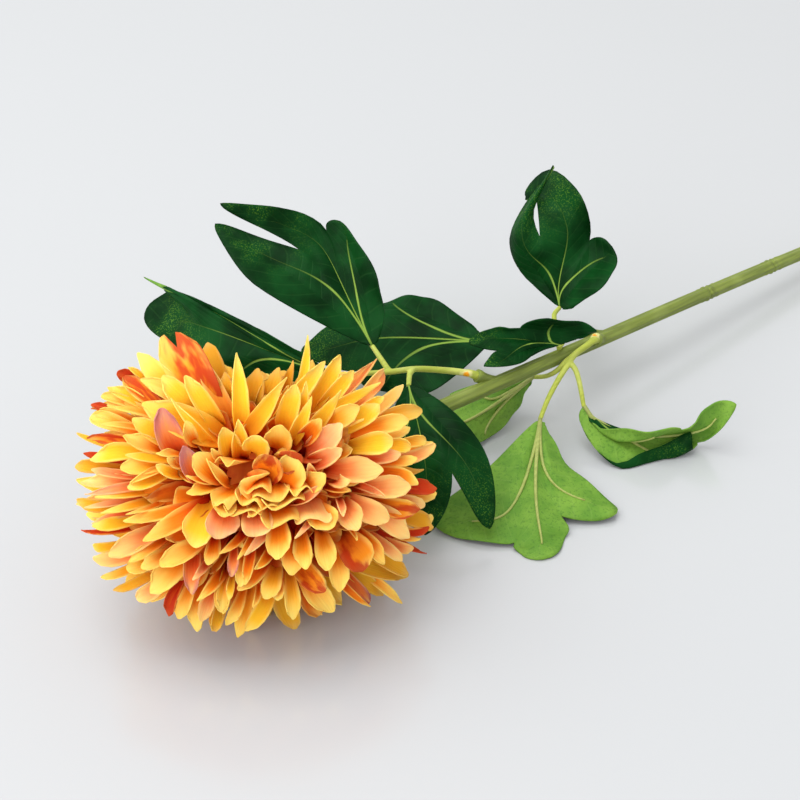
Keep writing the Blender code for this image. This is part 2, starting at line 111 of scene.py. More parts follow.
SOCKETS = {
    "near": ((150.0, 13.5, 35.0), (139.5, 18.5, 41.5)),
    "front": ((222.0, 13.5, 29.6), (212.5, 9.0, 35.5)),
    "back": ((226.0, 13.5, 29.3), (216.0, 20.0, 32.5)),
}
GLUE = {"near": (133.6, 19.4, 44.0), "front": (211.8, 9.9, 37.5)}
STALKS = {
    "near": (
        (((127, 26, 46), (113, 32, 50), (98, 34, 54), (85, 38.5, 56.5)), "leaf_b"),
        (((98.5, 34.5, 54), (99, 41, 57)), "leaf_a"),
        (((112, 32.3, 50.3), (107, 29.5, 51.5)), "leaf_c"),
    ),
    "front": (
        (((204, 7.6, 36), (195.5, 7, 35), (188, 4.8, 32.5), (179.5, 2.5, 28.5), (170, -1, 24)), "leaf_g"),
        (((190.5, 5.6, 33.3), (190.5, 1.5, 31.5), (188.5, -4, 27)), "leaf_h"),
        (((196, 7, 35), (190.5, 7.6, 33), (185.5, 9, 28.5), (182, 13, 24.5)), "leaf_i"),
    ),
    "back": (
        (((209, 25, 35.5), (204, 29, 38), (206, 33, 41)), "leaf_e"),
        (((208, 25.5, 36), (200, 19, 36.5), (190, 13, 38)), "leaf_f"),
        (((206, 27, 36.5), (195, 38, 32)), "leaf_d"),
    ),
}
PLUG_RADIUS = 2.1
PLUG_LONG = 4.0
STALK_RADIUS = 1.5
BRANCH_RADIUS = 1.4
LEAF_SEAT = 0.75

# Leaves, as in the solids: the lobes of the die and where each leaf is bent to
LOBES = ((33.0, 86.0, 16.5), (0.0, 95.0, 19.0), (-38.0, 62.0, 15.0))
LOBE_WIDEST = 0.64
LOBE_SWELL = 0.8
LOBE_POINT = 0.6
BLUNT_POINTS = {"leaf_b": 0.45, "leaf_e": 0.45, "leaf_g": 0.34}
LEAF_SHOULDER = 0.35
RIB_FORK = 0.3
RIB_END = 0.8
LEAVES = {
    "leaf_a": (
        (100, 49, 60), (72, 135, 98), (74, 132, 110), (117, 96, 100),
        (98, 101, 88), (114, 100, 94), (67, 97, 84), (115, 63, 84),
    ),
    "leaf_b": (
        (73, 43, 58), (31, 94, 44), (29, 138, 60), (35, 144, 78),
        (35, 85, 60), (40, 115, 78), (49, 65, 48), (51, 90, 76),
    ),
    "leaf_c": (
        (100, 22, 52), (95, -42, 10), (68, -28, 12), (70, -4, 16),
        (89, -22, 33), (76, -5, 28), (108, -22, 37), (76, 7, 38),
    ),
    "leaf_d": (
        (176, 50, 28), (119, 74, 12), (102, 111, 22), (154, 106, 34),
        (115, 79, 21), (143, 106, 32), (136, 48, 16), (172, 91, 36),
    ),
    "leaf_e": (
        (212, 35, 42), (238, 70, 100), (233.7, 86, 82), (243, 31, 68),
        (216, 57, 72), (241, 45, 66), (208, 71, 68), (227, 20, 57),
    ),
    "leaf_f": (
        (187, 10, 43), (143, 17, 47), (151, 37, 48), (182, 14, 58),
        (157, 21, 47), (174, 25, 51), (161, 11, 43), (203, 1, 50),
    ),
    "leaf_g": (
        (159, -7, 20), (83, -21, 2), (105.7, -64, 0.5), (151.4, -66, 2),
        (103, -50, 4), (131, -51, 6), (111, -9, 7), (156, -35, 7),
    ),
    "leaf_h": (
        (185, -11.5, 18), (217, -54, 12), (236, -64, 26), (202, -50, 19),
        (222, -55, 4), (211, -52, 14), (191, -44, 5), (187, -29, 14),
    ),
    "leaf_i": (
        (179, 19, 22), (142, 40, 16), (128, 31, 6), (141, 15, 2),
        (145, 31, 14), (134, 18, 6), (166, 33, 18), (165, 17, 6),
    ),
}
# Further landmarks, on the flat leaf and as it lies, where one lobe crosses another
MORE_MARKS = {
    "leaf_b": (((12.0, 84.0), (41, 134, 70)),),
    "leaf_e": (
        ((-29.0, 48.0), (206, 58, 70)), ((-40.0, 64.0), (216.5, 65.6, 88)),
        ((-15.0, 74.0), (227, 71, 85)), ((0.0, 52.0), (228.6, 49, 74)), ((19.0, 61.0), (239, 45, 82)),
        ((15.0, 80.0), (238, 58.5, 95)), ((-9.0, 88.0), (231, 81, 78)), ((9.0, 90.0), (243.9, 80, 91)),
        ((20.0, 12.0), (214, 26, 50)),
    ),
    "leaf_g": (((17.0, 75.0), (124, -61, 1)), ((-14.0, 86.0), (101.6, -55, 1))),
    "leaf_h": (
        ((-34.0, 32.0), (182, -43, 0.5)), ((-34.0, 62.0), (208, -54, 1.5)), ((-14.0, 22.0), (185, -20, 12)),
        ((12.0, 80.0), (228.4, -56, 25)), ((-12.0, 80.0), (228.7, -62.6, 14)), ((19.0, 24.4), (188, -33, 9)),
    ),
}
PALE_SIDE_UP = ("leaf_g", "leaf_h", "leaf_i")

# Petals off the punches: the share of the length and of the full width at each
# row, and how far the corners of the tip are rounded back
PUNCHES = {
    "o": (((0.0, 0.3), (0.3, 0.66), (0.55, 1.0), (0.73, 0.98), (0.84, 0.9), (0.93, 0.72), (1.0, 0.34)), 0.07),
    "s": (((0.0, 0.3), (0.3, 0.46), (0.55, 0.76), (0.73, 0.97), (0.84, 1.0), (0.93, 0.84), (1.0, 0.44)), 0.07),
    "l": (((0.0, 0.44), (0.25, 0.78), (0.5, 1.0), (0.75, 0.86), (0.9, 0.52), (1.0, 0.14)), 0.03),
    "f": (((0.0, 0.36), (0.3, 0.66), (0.6, 0.95), (0.8, 1.05), (0.93, 0.98), (1.0, 0.8)), 0.08),
    "w": (((0.0, 0.4), (0.3, 0.7), (0.6, 0.95), (0.85, 1.04), (1.0, 1.0)), 0.06),
    "b": (((0.0, 0.3), (0.3, 0.56), (0.6, 0.88), (0.8, 1.0), (0.93, 0.95), (1.0, 0.66)), 0.08),
}
RUFFLED = ("f", "w")
PETAL_COLUMNS = 8
PETAL_ROWS = 9
EYE_RAISED = 7.0

# How each lot of petals is dyed and darkened: shares of mauve, scarlet and gold, then of peach,
# cream and painted shade, a darkening that stands in for the shade deep in the bloom and under the leaf
DYES_AND_SHADE = {
    "o": ((0.0, 0.0, 0.0), (0.0, 0.0, 0.0)),
    "k": ((0.0, 0.0, 0.0), (0.0, 0.35, 0.0)),
    "c": ((0.0, 0.0, 0.1), (0.0, 0.9, 0.0)),
    "z": ((0.0, 0.0, 0.5), (0.0, 0.6, 0.0)),
    "y": ((0.0, 0.0, 0.9), (0.0, 0.1, 0.0)),
    "Y": ((0.0, 0.0, 1.0), (0.0, 0.0, 0.4)),
    "u": ((0.0, 0.0, 0.8), (0.5, 0.2, 0.0)),
    "p": ((0.0, 0.0, 0.0), (0.9, 0.0, 0.0)),
    "q": ((0.0, 0.0, 0.0), (0.6, 0.55, 0.0)),
    "n": ((0.35, 0.0, 0.0), (0.8, 0.0, 0.0)),
    "m": ((0.85, 0.1, 0.0), (0.5, 0.0, 0.0)),
    "M": ((1.0, 0.3, 0.0), (0.3, 0.0, 0.4)),
    "s": ((0.0, 0.55, 0.2), (0.0, 0.0, 0.1)),
    "r": ((0.0, 1.0, 0.0), (0.0, 0.0, 0.1)),
    "R": ((0.0, 0.56, 0.4), (0.0, 0.2, 0.0)),
    # d: golden petals under the leaf, x: petals under the front ones, both darkened by painted shade
    "d": ((0.0, 0.1, 1.0), (0.0, 0.0, 0.5)),
    "x": ((0.0, 0.35, 0.0), (0.0, 0.0, 0.35)),
    "v": ((0.0, 0.4, 0.5), (0.5, 0.1, 0.0)),
}

# The petals of the side that is seen, in the bloom's own axes: the tip, where the
# petal comes out from under the others, its width, punch and dye (some dyes carry painted shade),
# and how far it faces up rather than out
FRONT_PETALS = (
    (-11, 30, -10, 18, 10.2, "o", "y", 0.1), (-5, 32, -6, 18, 8.5, "l", "y", 0.1),
    (0, 26, 0, 17, 11.4, "s", "y", 0.3), (10, 29, 9, 18, 12.7, "s", "z", 0.2),
    (35, 26, 21, 15, 11.2, "o", "p", 0.3), (32, 19, 22, 12, 8.6, "o", "p", 0.2),
    (-13, 18, -3, 15, 8.8, "w", "c", 2.0), (5, 18, 3, 9, 12.7, "f", "s", 0.2),
    (12, 19, 12, 12, 11.8, "f", "s", 0.3), (16, 15, 9, 4, 13.1, "f", "k", 0.2),
    (21, 13, 21, 7, 4.7, "o", "q", 0.2), (25, 9, 17, 2, 9.8, "s", "c", 0.4), (35, 6, 29, 3, 6.4, "s", "q", 0.3),
    (35, -1, 26, 1, 4.3, "o", "c", 1.0), (24, 3, 13, -4, 5.9, "o", "n", 0.5),
    (-26, 24, -25, 10, 9.7, "s", "m", 0.1), (-24, 21, -16, 9, 12.2, "s", "k", 0.3),
    (-27, 33, -24, 23, 6.4, "s", "c", 0.2), (-16, 23, -14, 16, 3.8, "o", "c", 0.3),
    (-20, 18, -12, 6, 5.1, "l", "c", 0.3), (-28, 7, -17, 7, 7.1, "o", "z", 0.6),
    (-27, 13, -17, 7, 5.5, "l", "o", 0.8), (-2, 11, -2, 5, 13.5, "f", "k", 0.4),
    (-17, 3, -4, 5, 10.1, "w", "k", 1.8), (4, 3, 5, 7, 14.3, "w", "k", 2.6),
    (-9, -3, -4, 1, 14.7, "w", "k", 2.4), (8, -2, 7, 3, 16.9, "w", "k", 2.4),
    (15, 3, 12, 6, 9.3, "w", "k", 1.6), (0, -2, 1, 2, 12.6, "w", "o", 2.6), (-5, 2, -2, 6, 10.9, "w", "o", 2.4),
    (-2, 7, 0, 9, 10.9, "w", "o", 2.4), (-17, -4, -13, 3, 10.1, "s", "z", 0.8),
    (6, -8, 6, -2, 15.2, "w", "k", 2.2), (-5, -6, 0, -1, 3.8, "l", "p", 0.5),
    (-16, -13, -14, -2, 13.9, "s", "n", 0.2), (-2, -13, -2, -4, 12.2, "f", "p", 0.6),
    (5, -23, 6, -9, 11.0, "s", "k", 0.1), (-7, -21, 3, -11, 4.7, "l", "p", 0.2),
    (-10, -22, -4, -14, 3.4, "l", "k", 0.1), (-17, -19, -7, -13, 4.6, "l", "k", 0.2),
    (-21, -23, -19, -13, 6.4, "s", "k", 0.0), (20, -8, 18, -2, 14.4, "w", "q", 2.0),
    (27, -13, 21, -5, 13.2, "s", "k", 0.6), (11, -14, 21, -9, 3.4, "l", "p", 0.5),
    (31, -9, 31, -3, 3.8, "o", "p", 0.3), (-36, 39, -33, 21, 11.8, "o", "m", 0.1),
    (-50, 30, -37, 22, 7.6, "s", "c", 0.3), (-31, 41, -18, 23, 4.8, "l", "y", 0.2),
    (-61, 34, -48, 37, 3.7, "l", "c", 0.8), (-66, 37, -53, 34, 8.2, "s", "c", 0.3),
    (-66, 41, -58, 40, 4.4, "o", "r", 0.2), (-72, 29, -63, 27, 3.2, "l", "Y", 0.2),
    (-66, 27, -52, 29, 5.6, "o", "s", 0.2), (-65, 22, -49, 25, 8.6, "s", "y", 0.4),
    (-72, 18, -64, 18, 6.2, "s", "Y", 0.2), (-67, 23, -61, 22, 3.7, "o", "r", 0.2),
    (-54, 18, -35, 17, 7.9, "s", "z", 0.5), (-51, 23, -35, 19, 5.4, "l", "y", 0.5),
    (-50, 11, -35, 18, 4.8, "l", "c", 0.8), (-51, 9, -36, 13, 7.2, "s", "y", 0.9),
    (-40, 16, -30, 11, 6.0, "o", "y", 0.4), (-38, 23, -30, 20, 4.8, "s", "c", 0.6),
    (-35, 20, -30, 14, 4.2, "o", "c", 0.4), (-70, 11, -51, 11, 6.8, "s", "q", 0.4),
    (-67, 16, -52, 13, 4.3, "o", "p", 0.5), (-67, 7, -51, 10, 4.9, "l", "n", 0.5),
    (-64, 5, -44, 6, 4.9, "l", "z", 1.0), (-69, 2, -55, 4, 3.7, "l", "p", 0.7),
    (-63, 1, -42, 2, 5.5, "l", "z", 1.0), (-73, 2, -62, -1, 5.6, "s", "Y", 0.3),
    (-68, -4, -57, -1, 4.3, "l", "p", 0.6), (-66, -6, -54, -6, 6.7, "s", "y", 0.5),
    (-72, -9, -60, -11, 3.1, "l", "r", 0.2), (-54, -3, -25, -1, 6.6, "o", "k", 0.9),
    (-52, -1, -40, 1, 3.6, "l", "c", 0.8), (-47, -10, -22, -1, 9.6, "o", "k", 0.4),
    (-28, -15, -21, -1, 13.7, "s", "y", 0.2), (-61, -16, -41, -9, 9.2, "s", "q", 0.3),
    (-41, -23, -22, -14, 9.6, "s", "c", 0.4), (-54, -19, -42, -15, 5.5, "s", "c", 0.6),
    (-49, -22, -39, -19, 6.7, "s", "c", 0.3), (-48, -32, -33, -21, 12.2, "o", "c", 0.2),
    (-31, -35, -29, -19, 7.3, "o", "m", 0.0), (-53, -38, -44, -34, 7.4, "s", "q", 0.3),
    (-42, -45, -39, -34, 5.6, "s", "r", 0.0), (-37, -47, -33, -35, 6.5, "s", "c", 0.1),
    (-31, -52, -30, -38, 7.8, "s", "c", 0.0), (-27, -47, -23, -36, 6.8, "s", "q", 0.0),
    (-23, -53, -21, -47, 5.9, "o", "Y", 0.0), (-20, -44, -18, -30, 6.1, "s", "c", 0.0),
    (-28, -37, -18, -30, 5.5, "l", "k", 0.3), (-29, -29, -23, -24, 4.2, "l", "p", 0.3),
    (-68, -19, -56, -23, 6.8, "s", "q", 0.3), (-69, -16, -63, -18, 4.3, "s", "y", 0.2),
    (-66, -27, -55, -27, 4.4, "o", "z", 0.3), (-62, -33, -49, -31, 4.4, "o", "Y", 0.3),
    (-55, -25, -44, -22, 7.9, "s", "z", 0.3), (-15, -28, -12, -18, 4.7, "s", "m", 0.0),
    (-12, -33, -8, -20, 6.0, "s", "c", 0.0), (-9, -32, -5, -19, 5.0, "o", "o", 0.0),
    (-5, -26, 2, -22, 5.0, "l", "o", 0.2), (9, -30, 12, -16, 9.7, "s", "k", 0.0),
    (15, -28, 15, -15, 8.2, "s", "k", 0.0), (24, -30, 23, -16, 9.2, "s", "c", 0.0),
    (29, -40, 29, -24, 9.3, "s", "c", 0.0), (37, -20, 37, -16, 2.2, "l", "c", 0.0),
    (41, -32, 33, -19, 14.8, "s", "s", 0.2), (47, -31, 40, -18, 7.1, "s", "k", 0.0),
    (55, -34, 50, -24, 5.6, "o", "q", 0.1), (61, -31, 56, -29, 5.3, "o", "q", 0.2),
    (66, -32, 51, -22, 4.1, "l", "r", 0.2), (65, -25, 60, -27, 2.7, "l", "c", 0.3),
    (59, -43, 35, -32, 8.8, "o", "Y", 0.5), (59, -40, 49, -31, 7.4, "o", "Y", 0.2),
    (55, -53, 46, -42, 4.4, "o", "c", 0.1), (43, -52, 34, -37, 5.4, "s", "M", 0.0),
    (41, -50, 32, -43, 3.7, "l", "o", 0.1), (50, -49, 35, -35, 7.4, "o", "Y", 0.2),
    (24, -50, 14, -32, 10.4, "s", "c", 0.0), (23, -39, 14, -31, 9.6, "o", "s", 0.2),
    (9, -51, 9, -32, 7.4, "s", "z", 0.0), (-1, -40, 4, -29, 8.2, "s", "z", 0.1),
    (3, -41, 5, -35, 5.1, "s", "c", 0.1), (-11, -36, 0, -26, 6.9, "o", "k", 0.2),
    (-20, -44, -17, -30, 6.1, "s", "z", 0.0), (-16, -38, -14, -31, 3.5, "s", "y", 0.0),
    (-17, -51, -10, -40, 5.5, "s", "c", 0.1), (-7, -43, -3, -39, 3.2, "l", "c", 0.2),
    (-15, -57, -8, -40, 7.5, "o", "z", 0.1), (-11, -54, 2, -43, 7.4, "o", "y", 0.2),
    (-23, -54, -23, -46, 6.5, "o", "Y", 0.0), (-30, 69, -16, 35, 18.7, "b", "R", 0.0),
    (-22, 64, -10, 32, 9.4, "l", "u", 0.0), (-16, 64, -13, 52, 8.3, "o", "d", 0.0),
    (-3, 58, -5, 30, 8.4, "l", "y", 0.0), (3, 51, -1, 34, 10.3, "o", "d", 0.0),
    (11, 50, 4, 34, 9.3, "o", "d", 0.0), (-10, 51, -9, 37, 6.6, "o", "d", 0.0),
    (13, 45, -2, 27, 7.9, "l", "y", 0.0), (14, 44, 7, 31, 4.0, "l", "d", 0.0),
    (17, 52, 14, 42, 5.4, "l", "d", 0.0), (28, 62, 22, 42, 4.5, "l", "y", 0.0),
    (29, 52, 11, 31, 8.1, "o", "y", 0.0), (18, 44, 12, 27, 9.2, "o", "y", 0.0),
    (21, 44, 19, 29, 5.3, "l", "y", 0.0), (-45, 60, -30, 45, 10.3, "o", "z", 0.1),
    (-43, 51, -21, 42, 8.9, "o", "c", 0.1), (-42, 43, -15, 26, 13.9, "o", "y", 0.1),
    (-51, 52, -40, 42, 8.3, "s", "s", 0.1), (-54, 54, -45, 52, 6.5, "s", "r", 0.1),
    (-48, 55, -43, 52, 3.4, "o", "y", 0.1), (-55, 49, -44, 43, 6.5, "s", "y", 0.1),
    (-61, 45, -47, 44, 5.2, "s", "c", 0.3), (-58, 42, -40, 40, 6.2, "s", "c", 0.4),
    (-63, 39, -53, 39, 5.5, "s", "c", 0.3), (-65, 41, -56, 41, 2.7, "l", "r", 0.2),
    (-47, 36, -34, 26, 8.6, "o", "y", 0.2), (-34, 52, -22, 36, 10.1, "o", "y", 0.0),
    (-25, 51, -14, 30, 8.7, "o", "y", 0.0), (38, 52, 27, 37, 7.9, "o", "y", 0.0),
    (43, 46, 32, 37, 6.8, "o", "y", 0.0), (54, 49, 32, 35, 6.7, "l", "v", 0.0),
    (53, 41, 27, 31, 6.2, "l", "y", 0.0), (58, 43, 46, 35, 6.7, "s", "v", 0.0),
    (54, 35, 47, 32, 4.8, "o", "y", 0.0), (65, 37, 51, 30, 6.0, "o", "u", 0.1),
    (71, 25, 54, 29, 8.1, "s", "z", 0.2), (42, 33, 28, 27, 8.7, "s", "z", 0.1),
    (50, 33, 41, 26, 9.1, "s", "y", 0.1), (62, 24, 49, 26, 8.5, "s", "c", 0.2),
    (44, 27, 29, 25, 4.0, "l", "c", 1.0), (55, 17, 43, 18, 10.0, "s", "y", 0.2),
    (63, 14, 55, 18, 6.4, "s", "y", 0.1), (71, 16, 65, 17, 5.2, "s", "z", 0.1),
    (73, 13, 66, 8, 5.9, "o", "q", 0.1), (49, 8, 28, 8, 11.6, "s", "q", 0.2),
    (58, 12, 46, 11, 6.0, "s", "p", 0.2), (64, 10, 58, 9, 4.7, "s", "c", 0.2),
    (64, 0, 55, 7, 6.4, "s", "o", 0.1), (72, -3, 65, -3, 7.3, "s", "r", 0.1),
    (74, -8, 65, -10, 5.9, "s", "c", 0.1), (68, -11, 58, -7, 6.2, "s", "q", 0.1),
    (61, -1, 43, -1, 10.5, "s", "q", 0.1), (49, -4, 43, 1, 3.6, "l", "p", 0.3),
    (50, -15, 34, -4, 10.3, "s", "q", 0.1), (59, -22, 45, -8, 10.5, "s", "q", 0.0),
    (37, -15, 32, -5, 10.9, "s", "q", 0.1), (62, -14, 49, -8, 9.5, "s", "s", 0.1),
    (71, -19, 64, -16, 8.4, "s", "Y", 0.1), (73, -20, 68, -21, 4.6, "s", "c", 0.1),
    (68, -21, 60, -25, 3.8, "s", "r", 0.1), (23, 38, 15, 22, 7.2, "l", "y", 0.0),
    (34, 40, 22, 24, 7.3, "l", "y", 0.0), (27, 29, 19, 21, 8.5, "o", "o", 0.2),
)


def linear(code):
    """An sRGB hex colour as the linear red, green, blue and alpha that shaders take."""
    parts = [int(code[i : i + 2], 16) / 255 for i in (1, 3, 5)]
    return (*(c / 12.92 if c <= 0.04045 else ((c + 0.055) / 1.055) ** 2.4 for c in parts), 1.0)


def colour_setting(name, description, code):
    return bpy.props.FloatVectorProperty(
        name=name, description=description, subtype="COLOR", size=4, min=0.0, max=1.0, default=linear(code)
    )


class BloomSettings(bpy.types.PropertyGroup):
    seed: bpy.props.IntProperty(name="Seed", description="Which draw of small differences", default=11)
    petals: bpy.props.IntProperty(name="Petals", description="Petals laid by rule under and behind those of the front", default=230, min=60, max=420)
    wide: bpy.props.FloatProperty(
        name="Petal width", description="Full width of a petal in millimetres", default=13.0, min=6.0, max=20.0
    )
    thick: bpy.props.FloatProperty(
        name="Fabric", description="Thickness of the stiffened fabric in millimetres", default=0.45, min=0.2, max=1.5
    )
    # Root: the dark red deep in the bloom is partly dye and partly painted shade
    root: colour_setting("Root", "Dye in the depth of the bloom", "#9C1602")
    low: colour_setting("Low", "Dye above the root", "#DC4A06")
    middle: colour_setting("Middle", "Dye along the petal", "#F5820E")
    light: colour_setting("Light", "Dye towards the tip", "#FFA428")
    golden: colour_setting("Golden", "Dye of the yellower petals", "#FFC62A")
    rim: colour_setting("Rim", "Paler rim and tip of the petal", "#FFD76C")


class LeafSettings(bpy.types.PropertyGroup):
    thick: bpy.props.FloatProperty(
        name="Thickness", description="Coated fabric in millimetres", default=0.7, min=0.3, max=1.5
    )
    fold: bpy.props.FloatProperty(
        name="Fold", description="Depth of the crease along a midrib in millimetres", default=1.6, min=0.0, max=4.0
    )
    wave: bpy.props.FloatProperty(
        name="Wave", description="Height of the waves of the edge in millimetres", default=0.9, min=0.0, max=4.0
    )
    upper: colour_setting("Upper side", "Print on the upper side", "#0E4419")
    vein: colour_setting("Vein", "Print of the veins", "#8FB04A")
    under: colour_setting("Under side", "Print on the under side", "#7BA43A")
    rib: colour_setting("Rib", "Moulded ribs under the leaf", "#A9B263")


class StemSettings(bpy.types.PropertyGroup):
    flute: bpy.props.FloatProperty(
        name="Flutes", description="Depth of the flutes in millimetres", default=0.45, min=0.0, max=0.8
    )
    step: bpy.props.FloatProperty(
        name="Steps", description="Height of the step rings in millimetres", default=0.7, min=0.0, max=1.0
    )
    stem: colour_setting("Stem", "Colour of the stem", "#7F8D3C")
    stalk: colour_setting("Stalks", "Colour of the leaf stalks", "#B3BC4C")


class StageSettings(bpy.types.PropertyGroup):
    floor: colour_setting("Floor", "Colour of the table", "#BFC1C3")
    key: bpy.props.FloatProperty(name="Key light", description="Power of the softbox behind in watts", default=18.0, min=0.0)
    above: bpy.props.FloatProperty(name="Top light", description="Power of the softbox above in watts", default=28.5, min=0.0)
    front: bpy.props.FloatProperty(name="Front light", description="Power of the softbox in front", default=24.0, min=0.0)
    sky: bpy.props.FloatProperty(name="Sky", description="Strength of the light all round", default=0.85, min=0.0)


GROUPS = {"bloom": BloomSettings, "leaf": LeafSettings, "stem": StemSettings, "stage": StageSettings}


def settings(name):
    return getattr(bpy.context.scene, "chrysanthemum_" + name)


# Places and lines


def point(values):
    return np.array(values, float)


def unit(vectors):
    return vectors / np.linalg.norm(vectors, axis=-1, keepdims=True)


def on_table(places):
    """Places in millimetres from the spot under the bloom, in metres in the row's frame."""
    return (np.asarray(places, float) + (SPOT[0], SPOT[1], 0.0)) * MM


def bloom_axes():
    """The bloom's right, up and outward directions."""
    heading = math.radians(BLOOM_HEADING)
    rise = math.radians(BLOOM_RISE)
    level = math.cos(rise)
    out = point((math.cos(heading) * level, math.sin(heading) * level, math.sin(rise)))
    right = unit(np.cross((0.0, 0.0, 1.0), out))
    return right, np.cross(out, right), out


RIGHT, UP, OUT = bloom_axes()


def in_bloom(x, y, depth):
    return point(BLOOM_MIDDLE) + x * RIGHT + y * UP + depth * OUT


def smooth_path(places, pitch):
    """A Catmull-Rom curve through the places, with a point about every pitch."""
    knots = [point(place) for place in places]
    knots = [2 * knots[0] - knots[1], *knots, 2 * knots[-1] - knots[-2]]
    path = []
    for a, b, c, d in zip(knots, knots[1:], knots[2:], knots[3:]):
        count = max(2, round(np.linalg.norm(c - b) / pitch))
        for step in range(count):
            t = step / count
            bend = (2 * a - 5 * b + 4 * c - d) * t**2 + (3 * b - a - 3 * c + d) * t**3
            path.append(b + 0.5 * ((c - a) * t + bend))
    return [*path, knots[-2]]


def soft_step(low, high, value):
    """From 0 at low to 1 at high, with no corner."""
    t = np.clip((value - low) / (high - low), 0.0, 1.0)
    return t * t * (3.0 - 2.0 * t)


def pressed(places, least):
    """Where the table leaves the points that would hang below it."""
    over = np.clip((places[:, 2] - least) / 0.4, -30.0, 30.0)
    flat = least + 0.4 * np.log1p(np.exp(over))
    places[:, 2] = np.where(over > 12.0, places[:, 2], flat)
    return places


# Objects and meshes


def deselect():
    if bpy.context.mode != "OBJECT":
        bpy.ops.object.mode_set(mode="OBJECT")
    bpy.ops.object.select_all(action="DESELECT")


def make_active(piece):
    deselect()
    piece.select_set(True)
    bpy.context.view_layer.objects.active = piece


def apply_all(piece):
    make_active(piece)
    for modifier in list(piece.modifiers):
        bpy.ops.object.modifier_apply(modifier=modifier.name)


def join(name, pieces):
    deselect()
    for piece in pieces:
        piece.select_set(True)
    bpy.context.view_layer.objects.active = pieces[0]
    if len(pieces) > 1:
        bpy.ops.object.join()
    pieces[0].name = name
    return pieces[0]


def outward(piece, merge=0.0):
    """Doubles merged and normals outward, done in edit mode on the whole mesh."""
    make_active(piece)
    bpy.ops.object.mode_set(mode="EDIT")
    bpy.ops.mesh.select_all(action="SELECT")
    if merge:
        bpy.ops.mesh.remove_doubles(threshold=merge * MM)
    bpy.ops.mesh.normals_make_consistent(inside=False)
    bpy.ops.object.mode_set(mode="OBJECT")
    return piece


def object_of(name, vertices, faces):
    """An object of a mesh, whose places are already in metres in the row's frame."""
    mesh = bpy.data.meshes.new(name)
    mesh.from_pydata([tuple(vertex) for vertex in vertices], [], [tuple(face) for face in faces])
    piece = bpy.data.objects.new(name, mesh)
    bpy.context.scene.collection.objects.link(piece)
    return piece


def fasten(piece, nodes, materials):
    """Gives a finished piece its materials and its body, and hides the imported parts of the nodes it stands for."""
    piece.data.materials.clear()
    for material in materials:
        piece.data.materials.append(material)
    piece.data.shade_smooth()
    if nodes:
        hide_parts(*nodes)
    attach(piece, "root")
    return piece


def tube(name, path, radii, sides=16, profile=None):
    """A tube with closed ends along a path in millimetres, round or of a profile curve."""
    curve = bpy.data.curves.new(name, "CURVE")
    curve.dimensions = "3D"
    curve.use_fill_caps = True
    curve.twist_mode = "MINIMUM"
    if profile:
        curve.bevel_mode = "OBJECT"
        curve.bevel_object = profile
    else:
        curve.bevel_depth = MM
        curve.bevel_resolution = max(0, sides // 2 - 2)
    spline = curve.splines.new("POLY")
    spline.points.add(len(path) - 1)
    for place, radius, spot in zip(on_table(path), radii, spline.points):
        spot.co = (*place, 1.0)
        spot.radius = radius
    holder = bpy.data.objects.new(name, curve)
    bpy.context.scene.collection.objects.link(holder)
    make_active(holder)
    bpy.ops.object.convert(target="MESH")
    return outward(bpy.context.object, 0.01)


# Materials


def node(tree, kind, inputs, **settings_of_node):
    """Adds a node. An input that is given a socket is linked, and any other is set."""
    made = tree.nodes.new(kind)
    for name, value in settings_of_node.items():
        setattr(made, name, value)
    for key, value in inputs.items():
        if isinstance(value, bpy.types.NodeSocket):
            tree.links.new(value, made.inputs[key])
        else:
            made.inputs[key].default_value = value
    return made


def new_material(name, **values):
    """A material and its Principled shader, with the values of its sockets set."""
    material = bpy.data.materials.new(name)
    material.use_nodes = True
    shader = material.node_tree.nodes["Principled BSDF"]
    for key, value in values.items():
        shader.inputs[key.replace("_", " ")].default_value = value
    return material, material.node_tree, shader


def blend(tree, factor, a, b, how="MIX"):
    made = node(tree, "ShaderNodeMix", {0: factor, 6: a, 7: b}, data_type="RGBA", blend_type=how)
    return made.outputs[2]


def sums(tree, operation, a, b=0.0, c=0.0, clamp=False):
    made = node(tree, "ShaderNodeMath", {0: a, 1: b, 2: c}, operation=operation, use_clamp=clamp)
    return made.outputs[0]


def ramp(tree, factor, low, high, start=0.0, end=1.0):
    """A smooth run from start to end while the factor goes from low to high."""
    inputs = {"Value": factor, "From Min": low, "From Max": high, "To Min": start, "To Max": end}
    return node(tree, "ShaderNodeMapRange", inputs, interpolation_type="SMOOTHSTEP").outputs[0]


def noise(tree, vector, scale, detail=2.0, rough=0.5):
    inputs = {"Vector": vector, "Scale": scale, "Detail": detail, "Roughness": rough}
    return node(tree, "ShaderNodeTexNoise", inputs).outputs[0]


def relief(tree, shader, height, distance, strength=1.0):
    """Raises the surface by the height, at most by the distance in millimetres."""
    made = node(tree, "ShaderNodeBump", {"Strength": strength, "Distance": distance * MM, "Height": height})
    tree.links.new(made.outputs[0], shader.inputs["Normal"])


